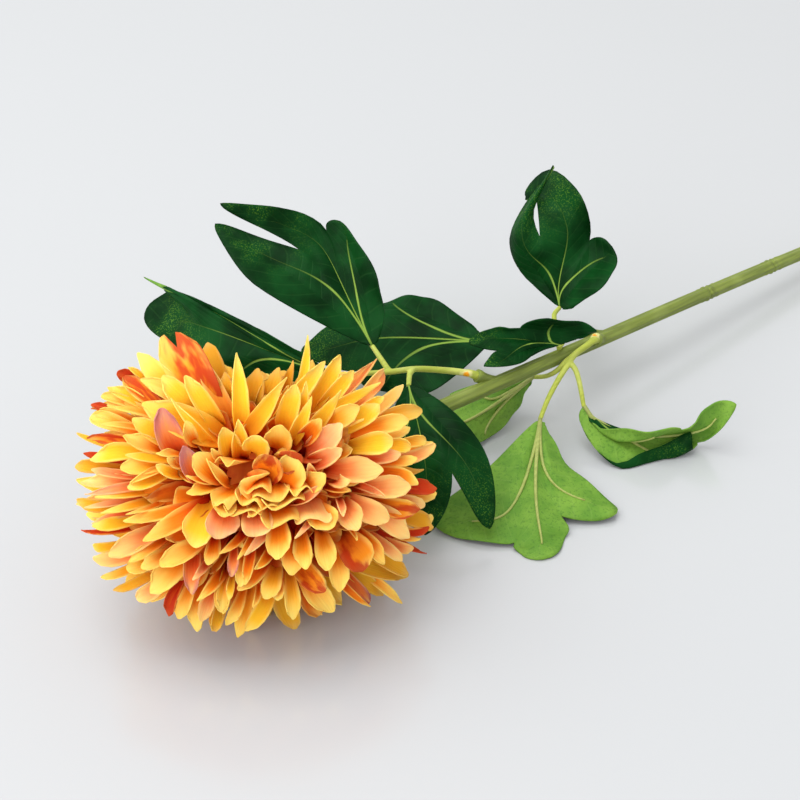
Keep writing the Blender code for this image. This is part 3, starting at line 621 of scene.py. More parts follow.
def petal_fabric(given):
    """Polyester satin, dyed by airbrush and heat-pressed: matt, and it lets light through. Its colour also holds
    painted shade: the dark red root deep in the bloom, and the shade share of petals lying deep or under the leaf.
    """
    material, tree, shader = new_material(
        "dyed polyester satin with painted shade",
        Roughness=0.72,
        IOR=1.46,
        Specular_IOR_Level=0.2,
        Subsurface_Weight=0.25,
        Subsurface_Radius=(1.0, 0.42, 0.1),
        Subsurface_Scale=0.002,
    )
    place = node(tree, "ShaderNodeSeparateXYZ", {0: node(tree, "ShaderNodeUVMap", {}, uv_map="petal").outputs[0]})
    across, along = place.outputs[0], place.outputs[1]
    attribute = node(tree, "ShaderNodeAttribute", {}, attribute_name="dye")
    dye = node(tree, "ShaderNodeSeparateColor", {0: attribute.outputs[0]})
    mauve, scarlet, golden = dye.outputs[0], dye.outputs[1], dye.outputs[2]
    # The wash holds the peach and cream dye and the share of painted shade
    attribute = node(tree, "ShaderNodeAttribute", {}, attribute_name="wash_and_shade")
    wash_and_shade = node(tree, "ShaderNodeSeparateColor", {0: attribute.outputs[0]})
    peach, cream, painted_shade = wash_and_shade.outputs[0], wash_and_shade.outputs[1], wash_and_shade.outputs[2]
    lot = node(tree, "ShaderNodeAttribute", {}, attribute_name="lot").outputs[2]
    own = sums(tree, "MULTIPLY", lot, 40.0)
    wide_spot = node(tree, "ShaderNodeCombineXYZ", {0: across, 1: along, 2: own}).outputs[0]
    cloud = noise(tree, wide_spot, 2.6, 3.0)
    streaks = node(tree, "ShaderNodeCombineXYZ", {0: sums(tree, "MULTIPLY", across, 13.0), 1: along, 2: own})
    brush = noise(tree, streaks.outputs[0], 1.3, 2.0)
    off = sums(tree, "ABSOLUTE", sums(tree, "MULTIPLY_ADD", across, 2.0, -1.0))
    reach = sums(tree, "ADD", along, sums(tree, "MULTIPLY_ADD", cloud, 0.3, -0.15))
    reach = sums(tree, "ADD", reach, sums(tree, "MULTIPLY_ADD", brush, 0.12, -0.06))
    reach = sums(tree, "ADD", reach, sums(tree, "MULTIPLY_ADD", lot, 0.2, -0.1))
    reach = sums(tree, "MULTIPLY_ADD", cream, 0.16, reach)
    # The root colour low on the petal is partly dye and partly painted shade for the depth of the bloom
    body = blend(tree, ramp(tree, reach, 0.2, 0.55), given.root, given.low)
    body = blend(tree, ramp(tree, reach, 0.4, 0.76), body, given.middle)
    body = blend(tree, ramp(tree, reach, 0.7, 1.08), body, given.light)
    gold = blend(tree, ramp(tree, reach, 0.1, 0.6), given.middle, given.golden)
    body = blend(tree, golden, body, gold)
    flesh = blend(tree, ramp(tree, reach, 0.35, 0.9), linear("#EC6428"), linear("#FFB07A"))
    body = blend(tree, sums(tree, "MULTIPLY", peach, 0.85), body, flesh)
    margin = sums(tree, "MULTIPLY_ADD", cream, -0.4, 0.62)
    side = node(tree, "ShaderNodeMapRange", {0: off, 1: margin, 2: 1.0}, interpolation_type="SMOOTHSTEP").outputs[0]
    side = sums(tree, "MULTIPLY", side, ramp(tree, along, 0.35, 0.8))
    start = sums(tree, "MULTIPLY_ADD", cream, -0.3, 0.82)
    end = node(tree, "ShaderNodeMapRange", {0: along, 1: start, 2: 1.0}, interpolation_type="SMOOTHSTEP").outputs[0]
    rim = sums(tree, "MAXIMUM", side, end)
    rim = sums(tree, "MULTIPLY", rim, ramp(tree, cloud, 0.3, 0.6, 0.7, 1.0))
    pale = blend(tree, sums(tree, "MULTIPLY", peach, 0.6), given.rim, linear("#FFCB9C"))
    body = blend(tree, rim, body, pale)
    tip = ramp(tree, sums(tree, "MULTIPLY_ADD", off, 0.25, reach), 0.74, 1.14)
    body = blend(tree, sums(tree, "MULTIPLY", tip, mauve), body, linear("#C0707A"))
    patch = sums(tree, "MULTIPLY_ADD", across, -0.5, ramp(tree, cloud, 0.36, 0.62, 0.15, 0.8))
    patch = sums(tree, "ADD", sums(tree, "ADD", along, patch), scarlet)
    blood = sums(tree, "MULTIPLY", ramp(tree, patch, 1.2, 1.9), sums(tree, "MINIMUM", sums(tree, "MULTIPLY", scarlet, 1.6), 0.92))
    body = blend(tree, blood, body, linear("#BC2404"))
    # Painted shade: the shade share darkens petals that lie deep in the bloom or under the leaf
    body = blend(tree, sums(tree, "MULTIPLY", painted_shade, 0.9), body, linear("#B06C10"), "MULTIPLY")
    tone = node(
        tree,
        "ShaderNodeCombineColor",
        {0: ramp(tree, lot, 0.0, 1.0, 0.95, 1.0), 1: ramp(tree, lot, 0.0, 1.0, 0.88, 1.0), 2: ramp(tree, lot, 0.0, 1.0, 0.8, 1.0)},
    )
    body = blend(tree, 1.0, body, tone.outputs[0], "MULTIPLY")
    tree.links.new(body, shader.inputs["Base Color"])
    pleats = sums(tree, "SINE", sums(tree, "MULTIPLY", across, 40.0))
    relief(tree, shader, sums(tree, "MULTIPLY_ADD", pleats, 0.12, brush), 0.4, 0.3)
    return material


def core_foam(given):
    """The plastic ball that the petals are threaded on, sprayed with the same dye."""
    material, tree, shader = new_material("dyed core", Roughness=0.8)
    spots = noise(tree, node(tree, "ShaderNodeTexCoord", {}).outputs["Object"], 300.0, 3.0)
    tree.links.new(blend(tree, spots, given.low, given.middle), shader.inputs["Base Color"])
    return material


def leaf_place(tree):
    """Along and across the lobe, in millimetres, from the leaf's own map."""
    place = node(tree, "ShaderNodeSeparateXYZ", {0: node(tree, "ShaderNodeUVMap", {}, uv_map="lobe").outputs[0]})
    along = sums(tree, "MULTIPLY", place.outputs[1], 100.0)
    across = sums(tree, "MULTIPLY_ADD", place.outputs[0], 100.0, -50.0)
    return along, across


def vein_masks(tree, along, across, waver):
    """The three midribs with the reach from the base, and the side veins every 8 mm."""
    ribs = node(tree, "ShaderNodeAttribute", {}, attribute_name="ribs")
    reach = sums(tree, "MULTIPLY", ribs.outputs[3], 100.0)
    gaps = node(tree, "ShaderNodeSeparateColor", {0: ribs.outputs[0]})
    left, middle, right = (sums(tree, "ABSOLUTE", gap) for gap in gaps.outputs)
    nearest = sums(tree, "MINIMUM", sums(tree, "MINIMUM", left, middle), right)
    wide = ramp(tree, reach, 0.0, 75.0, 0.95, 0.22)
    midrib = ramp(tree, sums(tree, "DIVIDE", nearest, wide), 0.4, 1.15, 1.0, 0.0)
    off = sums(tree, "ABSOLUTE", across)
    other = sums(tree, "GREATER_THAN", across, 0.0)
    run = sums(tree, "MULTIPLY_ADD", off, -0.85, along)
    run = sums(tree, "MULTIPLY_ADD", waver, 2.0, run)
    run = sums(tree, "MULTIPLY_ADD", other, 3.7, run)
    turns = sums(tree, "FRACT", sums(tree, "MULTIPLY", run, 0.125))
    near = sums(tree, "ABSOLUTE", sums(tree, "SUBTRACT", turns, 0.5))
    side = ramp(tree, near, 0.02, 0.085, 1.0, 0.0)
    side = sums(tree, "MULTIPLY", side, ramp(tree, off, 9.0, 17.0, 1.0, 0.15))
    return midrib, reach, side, near


def leaf_upper(given):
    """Polyester satin printed dark green and coated: a soft grey sheen over the veins."""
    material, tree, shader = new_material(
        "coated leaf fabric", Roughness=0.4, IOR=1.4, Specular_IOR_Level=0.07
    )
    spot = node(tree, "ShaderNodeTexCoord", {}).outputs["Object"]
    along, across = leaf_place(tree)
    cloud = noise(tree, spot, 55.0, 3.0)
    midrib, reach, side, near = vein_masks(tree, along, across, noise(tree, spot, 90.0, 1.0))
    body = blend(tree, ramp(tree, cloud, 0.3, 0.7), linear("#04260A"), given.upper)
    body = blend(tree, sums(tree, "MULTIPLY", side, 0.08), body, linear("#3F7036"))
    body = blend(tree, sums(tree, "MULTIPLY", midrib, ramp(tree, reach, 18.0, 60.0, 0.85, 0.1)), body, given.vein)
    specks = noise(tree, spot, 1500.0, 1.0)
    specks = sums(tree, "MULTIPLY", ramp(tree, specks, 0.56, 0.64), ramp(tree, along, 48.0, 92.0, 0.0, 0.5))
    body = blend(tree, sums(tree, "MULTIPLY", specks, ramp(tree, cloud, 0.4, 0.6)), body, linear("#6F9E2C"))
    tree.links.new(body, shader.inputs["Base Color"])
    weave = noise(tree, spot, 2600.0, 1.0)
    height = sums(tree, "MULTIPLY_ADD", weave, 0.12, sums(tree, "MULTIPLY", midrib, -1.0))
    height = sums(tree, "ADD", height, sums(tree, "MULTIPLY", side, -0.3))
    height = sums(tree, "ADD", height, ramp(tree, near, 0.0, 0.5, 0.0, 0.25))
    relief(tree, shader, height, 0.5, 0.5)
    return material


def leaf_under(given):
    """The uncoated back of the leaf fabric: paler, duller, mottled where the print shows through."""
    material, tree, shader = new_material("leaf fabric back", Roughness=0.6, IOR=1.4, Specular_IOR_Level=0.3)
    spot = node(tree, "ShaderNodeTexCoord", {}).outputs["Object"]
    along, across = leaf_place(tree)
    cloud = noise(tree, spot, 60.0, 4.0, 0.6)
    grain = noise(tree, spot, 700.0, 3.0, 0.7)
    midrib, reach, side, near = vein_masks(tree, along, across, noise(tree, spot, 90.0, 1.0))
    body = blend(tree, ramp(tree, cloud, 0.3, 0.7), linear("#5B8A2B"), given.under)
    body = blend(tree, ramp(tree, grain, 0.48, 0.36, 0.0, 0.5), body, linear("#456F26"))
    body = blend(tree, sums(tree, "MULTIPLY", side, 0.12), body, linear("#8DAE55"))
    body = blend(tree, sums(tree, "MULTIPLY", midrib, 0.5), body, given.rib)
    tree.links.new(body, shader.inputs["Base Color"])
    relief(tree, shader, sums(tree, "MULTIPLY_ADD", side, 0.2, grain), 0.3, 0.5)
    return material


def moulded_plastic(name, colour, deep, pale, glue=None):
    """Soft polyethylene over wire: waxy, with flow streaks along it, and hot glue smeared on at one place."""
    material, tree, shader = new_material(
        name,
        Roughness=0.48,
        IOR=1.5,
        Specular_IOR_Level=0.25,
        Subsurface_Weight=0.15,
        Subsurface_Radius=(0.6, 1.0, 0.3),
        Subsurface_Scale=0.002,
    )
    spot = node(tree, "ShaderNodeTexCoord", {}).outputs["Object"]
    long = node(tree, "ShaderNodeMapping", {0: spot, "Scale": (0.02, 1.0, 1.0)}).outputs[0]
    streak = noise(tree, long, 700.0, 2.0)
    patch = noise(tree, spot, 45.0, 2.0)
    body = blend(tree, ramp(tree, streak, 0.35, 0.65, 0.45, 1.0), deep, colour)
    body = blend(tree, ramp(tree, patch, 0.45, 0.75, 0.0, 0.45), body, pale)
    if glue is not None:
        smear = noise(tree, spot, 500.0, 2.0)
        near = node(tree, "ShaderNodeVectorMath", {0: spot, 1: tuple(on_table(glue))}, operation="DISTANCE")
        near = sums(tree, "MULTIPLY_ADD", smear, 0.003, near.outputs["Value"])
        body = blend(tree, ramp(tree, near, 0.0035, 0.0052, 1.0, 0.0), body, linear("#D9D48C"))
        body = blend(tree, ramp(tree, near, 0.0024, 0.0034, 1.0, 0.0), body, linear("#F0A018"))
    tree.links.new(body, shader.inputs["Base Color"])
    relief(tree, shader, streak, 0.15, 0.5)
    return material


# Petals


def petal_off_punch(name):
    """One flat petal: a grid drawn in to the outline of its punch."""
    rows, rounding = PUNCHES[name]
    deselect()
    columns = PETAL_COLUMNS + (6 if name in RUFFLED else 0)
    bpy.ops.mesh.primitive_grid_add(x_subdivisions=columns, y_subdivisions=PETAL_ROWS, size=2.0)
    petal = bpy.context.object
    places = np.array([vertex.co for vertex in petal.data.vertices])
    quads = [tuple(face.vertices) for face in petal.data.polygons]
    bpy.data.objects.remove(petal)
    u = np.sin(0.5 * math.pi * places[:, 0])
    v = 1.0 - (0.5 - 0.5 * places[:, 1]) ** 1.2
    half = np.interp(v, *zip(*rows))
    back = rounding * (1.0 - np.sqrt(np.maximum(0.0, 1.0 - u * u)))
    if name == "b":
        back = back + 0.1 * np.exp(-((u / 0.2) ** 2)) * np.clip(v * 3.0 - 2.0, 0.0, 1.0)
    return u, v, v * (1.0 - back), half, quads


def on_ball(tilt, turn):
    """The direction of a petal in the bloom's axes, where the eye is raised a little."""
    x = math.sin(tilt) * math.cos(turn)
    y = math.sin(tilt) * math.sin(turn)
    z = math.cos(tilt)
    rise = math.radians(EYE_RAISED) * soft_step(math.radians(125.0), 0.0, tilt)
    return x, y * math.cos(rise) + z * math.sin(rise), z * math.cos(rise) - y * math.sin(rise)


def petal_line(turn, tilt, reach, lean, arch):
    """The middle line of a petal: its root in the core, its belly and its tip."""
    sunk = 1.0 - ROOT_SUNK / CORE_ACROSS
    x, y, z = on_ball(tilt * lean, turn)
    root = in_bloom(CORE_ACROSS * sunk * x, CORE_UPRIGHT * sunk * y, CORE_FRONT * sunk * z)
    x, y, z = on_ball(tilt, turn)
    deep = BLOOM_FRONT if z > 0.0 else BLOOM_REAR
    tip = in_bloom(BLOOM_ACROSS * reach * x, BLOOM_UPRIGHT * reach * y, deep * reach * z + BLOOM_AHEAD)
    off = math.cos(turn) * RIGHT + math.sin(turn) * UP
    bulge = BELLY_BULGE * max(0.0, math.cos(tilt)) ** 2
    rise = BELLY_LEAST + BELLY_ARCH * math.sin(tilt) * arch
    return root, 0.5 * (root + tip) + rise * OUT + bulge * off, tip


def ball_depth(place):
    """How far out the ball of petal tips is at a place in the bloom's axes."""
    off = min(1.0, math.hypot(place[0] / BLOOM_ACROSS, place[1] / BLOOM_UPRIGHT))
    return BLOOM_FRONT * math.sqrt(1.0 - off * off) + BLOOM_AHEAD


def front_line(tip_at, root_at, lift, arch):
    """The middle line of a petal of the front: up from the core, then along the ball to its tip.

    A petal that faces up points at the viewer instead.
    """
    tip_at, root_at = point(tip_at), point(root_at)
    core = 0.86 * point((CORE_ACROSS, CORE_UPRIGHT))
    start = tip_at + 1.25 * (root_at - tip_at)
    start = start * min(1.0, 0.96 / max(0.01, np.linalg.norm(start / core)))
    inside = np.linalg.norm(start / core)
    root = in_bloom(*start, 0.86 * CORE_FRONT * math.sqrt(1.0 - inside**2))
    tip = in_bloom(*tip_at, ball_depth(tip_at))
    off = min(1.0, math.hypot(tip_at[0] / BLOOM_ACROSS, tip_at[1] / BLOOM_UPRIGHT))
    steep = 0.5 * (root + tip) + (BELLY_LEAST + BELLY_ARCH * off * arch) * OUT
    flat = in_bloom(*root_at, 0.94 * ball_depth(root_at))
    share = float(soft_step(1.6, 0.5, lift))
    return root, share * flat + (1.0 - share) * steep, tip


def bent_petal(punch, line, facing, wide, cup, curl, sway, ruffle, waves, phase, skew=0.0):
    """A flat petal laid along its line, cupped, curled at the tip and ruffled at the edge."""
    u, v, share, half, _ = punch
    root, belly, tip = line
    share = share * (1.0 + skew * u * v)
    s = share[:, None]
    middle = (1 - s) ** 2 * root + 2 * s * (1 - s) * belly + s**2 * tip
    along = unit((1 - s) * (belly - root) + s * (tip - belly))
    side = unit(np.cross(facing, along))
    face = np.cross(along, side)
    width = 0.5 * wide * half
    bow = cup * (1.15 - 0.45 * share)
    sideways = np.sin(bow * u) / bow * width + sway * share**2
    raised = (1.0 - np.cos(bow * u)) / bow * width
    tipward = np.clip((share - 0.55) / 0.45, 0.0, 1.0)
    raised = raised + curl * tipward**2
    edge = 0.08 * waves * tipward + np.abs(u) ** 1.5
    raised = raised + ruffle * share**2 * edge * np.sin(phase + waves * u + 2.0 * share)
    raised = raised - 0.3 * np.exp(-((u * width / 0.9) ** 2)) * (1.0 - 0.6 * share)
    return middle + side * sideways[:, None] + face * raised[:, None]


def stem_line(pitch):
    """The middle line of the stem, which starts square to the calyx."""
    depth = CORE_BACK + SEAT + CALYX_RINGS[-1][1] + SEAT
    seat = in_bloom(0.0, 0.0, -depth)
    straight = in_bloom(0.0, 0.0, -depth - STEM_SEATED)
    return [seat, *smooth_path([straight, *STEM_PATH], pitch)]


def clear_of_stem(line, stem):
    root, belly, tip = line
    for share in (0.5, 0.75, 1.0):
        middle = (1 - share) ** 2 * root + 2 * share * (1 - share) * belly + share**2 * tip
        if np.min(np.linalg.norm(stem - middle, axis=1)) < 11.4:
            return False
    return True


class CHRYSANTHEMUM_OT_petals(bpy.types.Operator):
    """Lays the petals of the front from their table and the others in a spiral round the core, in three rows of
    layers
    """

    bl_idname = "chrysanthemum.petals"
    bl_label = "Petals"

    def execute(self, context):
        given = settings("bloom")
        rng = random.Random(given.seed)
        punches = {name: petal_off_punch(name) for name in PUNCHES}
        stem = np.array(stem_line(STEM_PITCH))
        fabric = petal_fabric(given)
        layers = {"petals_front": [], "petals_under": [], "petals_rear": []}
        for x, y, root_x, root_y, wide, kind, dye, lift in FRONT_PETALS:
            wavy = 1.0 if kind == "w" else 0.4 if kind == "f" else 0.0
            line = front_line((x, y), (root_x, root_y), lift, rng.uniform(0.5, 1.0))
            if dye == "d":
                line = tuple(place - 11.0 * OUT for place in line)
            places = bent_petal(
                punches[kind],
                line,
                OUT + (lift + rng.uniform(-0.1, 0.2)) * UP + rng.uniform(-0.18, 0.18) * RIGHT,
                wide=wide,
                cup=rng.uniform(0.5, 1.1) * (1.0 - 0.6 * wavy) * min(1.0, 11.0 / wide),
                curl=rng.uniform(-1.0, 2.0) - 1.5 * wavy,
                sway=rng.uniform(-1.5, 1.5),
                ruffle=rng.uniform(0.2, 0.8) + 2.0 * wavy,
                waves=rng.uniform(2.4, 3.2) + 1.0 * wavy,
                phase=rng.uniform(0.0, 6.28),
                skew=rng.uniform(-0.07, 0.07),
            )
            layers["petals_front"].append((pressed(places, 0.35), punches[kind], DYES_AND_SHADE[dye], rng.random()))
        for number in range(given.petals):
            share = ((number + 0.5) / given.petals) ** PETAL_CROWD
            degrees = PETAL_FIRST + (PETAL_LAST - PETAL_FIRST) * share
            turn = number * GOLDEN_TURN + rng.uniform(-0.14, 0.14)
            up = math.sin(turn)
            front = float(1.0 - soft_step(72.0, 92.0, degrees))
            tilt = math.radians(degrees + rng.uniform(-4.0, 4.0))
            reach = rng.uniform(0.88, 1.0) - 0.18 * front - 0.08 * max(0.0, up) * (degrees < 105.0)
            over = abs(math.degrees(turn) % 360.0 - UNDER_LEAF) < 20.0 and 84.0 < degrees < 123.0
            reach *= 0.84 if over else 1.0
            root, belly, tip = petal_line(turn, tilt, reach, ROOT_LEAN, rng.uniform(0.5, 1.1))
            line = (root, belly, tip)
            kind = rng.choice("oossol")
            lift = 0.25 + 0.45 * abs(math.cos(turn)) + rng.uniform(-0.3, 0.3)
            places = bent_petal(
                punches[kind],
                line,
                OUT + lift * UP + rng.uniform(-0.45, 0.45) * RIGHT,
                wide=given.wide * rng.uniform(0.75, 1.0),
                cup=rng.uniform(0.6, 1.2),
                curl=rng.uniform(-1.0, 4.0),
                sway=rng.uniform(-3.0, 3.0),
                ruffle=rng.uniform(0.2, 0.9),
                waves=2.6,
                phase=rng.uniform(0.0, 6.28),
                skew=rng.uniform(-0.07, 0.07),
            )
            # Petals under the front mostly take x, whose painted shade darkens them as if deep in the bloom
            dye = rng.choice("xxxxo" if front > 0.5 else "okkzzyyYqc")
            lot = rng.random()
            # Petals under the leaf take d, with painted shade of the leaf
            if over:
                dye = "d"
            if degrees < 26.0 or not clear_of_stem(line, stem):
                continue
            layer = "petals_under" if degrees < 88.0 else "petals_rear"
            layers[layer].append((pressed(places, 0.35), punches[kind], DYES_AND_SHADE[dye], lot))
        for name, petals in layers.items():
            self.fuse(name, petals, given.thick, fabric)
        return {"FINISHED"}

    def fuse(self, name, petals, thick, fabric):
        places, faces, dyes, washes_and_shade, lots, spots = [], [], [], [], [], []
        for bent, (u, v, _, _, quads), (dye, wash_and_shade), lot in petals:
            start = len(places)
            places.extend(on_table(bent))
            faces.extend(tuple(start + i for i in quad) for quad in quads)
            dyes.extend([(*dye, 1.0)] * len(bent))
            washes_and_shade.extend([(*wash_and_shade, 1.0)] * len(bent))
            lots.extend([lot] * len(bent))
            spots.extend(zip(0.5 + 0.5 * u, v))
        piece = object_of(name, places, faces)
        mesh = piece.data
        for label, colours in (("dye", dyes), ("wash_and_shade", washes_and_shade)):
            layer = mesh.color_attributes.new(label, "FLOAT_COLOR", "POINT")
            layer.data.foreach_set("color", np.array(colours, np.float32).ravel())
        lot = mesh.attributes.new("lot", "FLOAT", "POINT")
        lot.data.foreach_set("value", np.array(lots, np.float32))
        layer = mesh.uv_layers.new(name="petal")
        corners = np.array([spots[loop.vertex_index] for loop in mesh.loops], np.float32)
        layer.data.foreach_set("uv", corners.ravel())
        cloth = piece.modifiers.new("fabric", "SOLIDIFY")
        cloth.thickness = thick * MM
        cloth.offset = 0.0
        apply_all(piece)
        fasten(piece, ["bloom"], [fabric])
        bpy.ops.object.shade_smooth_by_angle(angle=math.radians(50.0))


class CHRYSANTHEMUM_OT_core(bpy.types.Operator):
    """Makes the ball under the petals, seen only in the depth between them"""

    bl_idname = "chrysanthemum.core"
    bl_label = "Core"

    def execute(self, context):
        deselect()
        bpy.ops.mesh.primitive_uv_sphere_add(segments=40, ring_count=24, radius=1.0, location=(0.0, 0.0, 0.0))
        piece = context.object
        piece.name = "bloom_core"
        places = np.array([vertex.co for vertex in piece.data.vertices])
        deep = np.where(places[:, 2] > 0, CORE_FRONT, CORE_REAR) * places[:, 2]
        deep = np.maximum(deep, -CORE_BACK)
        bent = point(BLOOM_MIDDLE) + np.outer(CORE_ACROSS * places[:, 0], RIGHT)
        bent = on_table(bent + np.outer(CORE_UPRIGHT * places[:, 1], UP) + np.outer(deep, OUT))
        piece.data.vertices.foreach_set("co", bent.ravel())
        outward(piece, 0.01)
        fasten(piece, ["bloom"], [core_foam(settings("bloom"))])
        return {"FINISHED"}


# Stem, stalks and calyx


class CHRYSANTHEMUM_OT_calyx(bpy.types.Operator):
    """Turns the green cup behind the bloom and lays its ring of pointed sepals"""

    bl_idname = "chrysanthemum.calyx"
    bl_label = "Calyx"

    def execute(self, context):
        sides = 48
        outline = [(0.0, 0.0), (12.4, 0.0), (13.0, 0.5), (12.7, 2.0), (11.6, 3.4), (9.6, 5.4), (7.4, 7.6)]
        outline += [(5.6, 9.8), (4.8, 11.4), (4.6, 13.7), (4.3, 14.0), (0.0, 14.0)]
        places, faces = [], []
        for radius, depth in outline:
            for side in range(sides):
                turn = 2 * math.pi * side / sides
                r = radius + 0.25 * math.sin(8 * turn) * min(1.0, radius / 8.0)
                places.append(in_bloom(r * math.cos(turn), r * math.sin(turn), -CORE_BACK - SEAT - depth))
        for row in range(len(outline) - 1):
            for side in range(sides):
                a = row * sides + side
                b = row * sides + (side + 1) % sides
                faces.append((a, b, b + sides, a + sides))
        cup = outward(object_of("cup", on_table(places), faces), 0.05)
        pieces = [cup]
        punch = petal_off_punch("l")
        for number in range(10):
            turn = 2 * math.pi * (number + 0.5 * (number % 2) * 0.3) / 10
            off = math.cos(turn) * RIGHT + math.sin(turn) * UP
            base = in_bloom(0.0, 0.0, -CORE_BACK - 1.6)
            line = (base + 9.0 * off, base + 15.0 * off - 0.4 * OUT, base + 21.0 * off + 1.6 * OUT)
            bent = bent_petal(punch, line, -OUT, 6.5, 0.5, -0.6, 0.0, 0.2, 2.0, number)
            sepal = object_of("sepal", on_table(bent), punch[4])
            thick = sepal.modifiers.new("thick", "SOLIDIFY")
            thick.thickness = 0.6 * MM
            thick.offset = 0.0
            apply_all(sepal)
            pieces.append(sepal)
        given = settings("stem")
        plastic = moulded_plastic("calyx plastic", linear("#7C9447"), linear("#55702F"), linear("#93A85A"))
        fasten(join("calyx_cup", pieces), ["calyx"], [plastic])
        return {"FINISHED"}


class CHRYSANTHEMUM_OT_stem(bpy.types.Operator):
    """Draws the fluted stem with its step rings, the sockets of the sprays and the wire"""

    bl_idname = "chrysanthemum.stem"
    bl_label = "Stem"

    def execute(self, context):
        given = settings("stem")
        line = stem_line(STEM_PITCH)
        path, radii = [], []
        for a, b in zip(line, line[1:]):
            path.append(a)
            radii.append(1.0)
            for x in STEM_STEPS:
                if not a[0] <= x < b[0]:
                    continue
                at = a + (b - a) * (x - a[0]) / (b[0] - a[0])
                ahead = unit(b - a)
                for back, swell in STEP_PROFILE:
                    path.append(at + ahead * back)
                    radii.append(1.0 + swell * given.step / STEM_RADIUS)
        order = sorted(range(len(path)), key=lambda i: path[i][0]) if path[0][0] < path[-1][0] else range(len(path))
        start = [i for i in range(len(path)) if path[i][0] < 120.0]
        rest = [i for i in order if path[i][0] >= 120.0]
        path = [path[i] for i in [*start, *rest]] + [line[-1]]
        radii = [radii[i] for i in [*start, *rest]] + [0.97]
        curve = bpy.data.curves.new("profile", "CURVE")
        spline = curve.splines.new("POLY")
        count = FLUTES * 6
        spline.points.add(count - 1)
        spline.use_cyclic_u = True
        for i, spot in enumerate(spline.points):
            turn = 2 * math.pi * i / count
            r = (STEM_RADIUS - given.flute * (0.5 - 0.5 * math.cos(FLUTES * turn)) ** 1.5) * MM
            spot.co = (r * math.cos(turn), r * math.sin(turn), 0.0, 1.0)
        profile = bpy.data.objects.new("profile", curve)
        context.scene.collection.objects.link(profile)
        stem = tube("stem_fluted", path, radii, profile=profile)
        bpy.data.objects.remove(profile)
        deep = linear("#5E6A34")
        plastic = moulded_plastic("stem plastic", given.stem, deep, linear("#9DAB5C"))
        fasten(stem, ["stem"], [plastic])
        stem.data.shade_smooth()
        for name, ends in SOCKETS.items():
            root, mouth = (point(place) for place in ends)
            stops = ((-0.1, 3.1), (0.15, 2.9), (0.4, 2.55), (0.6, 2.55), (0.72, 2.8), (0.86, 3.3), (0.97, 3.3), (1.0, 3.0))
            places = [root + share * (mouth - root) for share, _ in stops]
            socket = tube("socket_" + name, places, [radius for _, radius in stops], 24)
            glued = moulded_plastic("socket plastic", given.stem, deep, linear("#9DAB5C"), GLUE.get(name))
            fasten(socket, ["stem"], [glued])
        end, before = line[-1], line[-2]
        ahead = unit(end - before)
        wire = tube("stem_wire", [end - 3 * ahead, end + 0.25 * ahead], [0.9, 0.9], 16)
        steel, tree, shader = new_material("drawn steel wire", Metallic=1.0, Roughness=0.35)
        scratches = noise(tree, node(tree, "ShaderNodeTexCoord", {}).outputs["Object"], 3000.0)
        tree.links.new(blend(tree, scratches, linear("#6E6C68"), linear("#A8A6A2")), shader.inputs["Base Color"])
        fasten(wire, ["stem"], [steel])
        return {"FINISHED"}


class CHRYSANTHEMUM_OT_stalks(bpy.types.Operator):
    """Moulds the three sprays of leaf stalks, each with its plug in its socket"""

    bl_idname = "chrysanthemum.stalks"
    bl_label = "Stalks"

    def execute(self, context):
        given = settings("stem")
        for name, branches in STALKS.items():
            tones = (given.stalk, linear("#93A03A"), linear("#CBD07A"))
            plastic = moulded_plastic("stalk plastic", *tones, GLUE.get(name))
            root, mouth = (point(place) for place in SOCKETS[name])
            along = unit(mouth - root)
            pieces = []
            for number, (places, leaf) in enumerate(branches):
                base = point(LEAVES[leaf][0])
                plug = [mouth + along * PLUG_LONG] if number == 0 else []
                line = smooth_path([*plug, *places, base], 2.5)
                count = len(line)
                start = 1.75 if number == 0 else 1.5
                radii = [start + (1.15 - start) * i / (count - 1) for i in range(count)]
                if number == 0:
                    line = [mouth - along * 2.0, *line]
                    radii = [2.3, *radii]
                    radii[1] = 2.0
                pieces.append(tube("branch", line, radii, 14))
            spray = join("spray_" + name, pieces)
            remesh = spray.modifiers.new("moulded", "REMESH")
            remesh.mode = "VOXEL"
            remesh.voxel_size = 0.4 * MM
            smooth = spray.modifiers.new("softened", "SMOOTH")
            smooth.factor = 0.5
            smooth.iterations = 4
            apply_all(spray)
            fasten(spray, ["stalks_" + name], [plastic])
        return {"FINISHED"}


# Leaves


def lobe_reach(angle, length, half, ray, blunt=LOBE_POINT):
    """How far the edge of a lobe is from the base of the leaf, along a ray."""
    shares = np.linspace(0.02, 1.0, 60)
    swell = np.sin(0.5 * math.pi * np.minimum(shares / LOBE_WIDEST, 1.0)) ** LOBE_SWELL
    past = np.clip((shares - LOBE_WIDEST) / (1.0 - LOBE_WIDEST), 0.0, 1.0)
    widths = half * swell * np.cos(0.499 * math.pi * past) ** blunt
    angles = np.arctan2(widths, shares * length)
    reaches = np.hypot(widths, shares * length)
    off = abs(ray - math.radians(angle))
    return float(np.interp(off, angles[::-1], reaches[::-1], right=0.0))


def leaf_reach(ray, blunt=LOBE_POINT):
    return max(lobe_reach(*lobe, ray, blunt) for lobe in LOBES)


def notch_ray(angle):
    """The ray to the notch between the middle lobe and the one at an angle."""
    rays = np.radians(np.linspace(0.25 * angle, 0.8 * angle, 120))
    return rays[np.argmin([leaf_reach(ray) for ray in rays])]


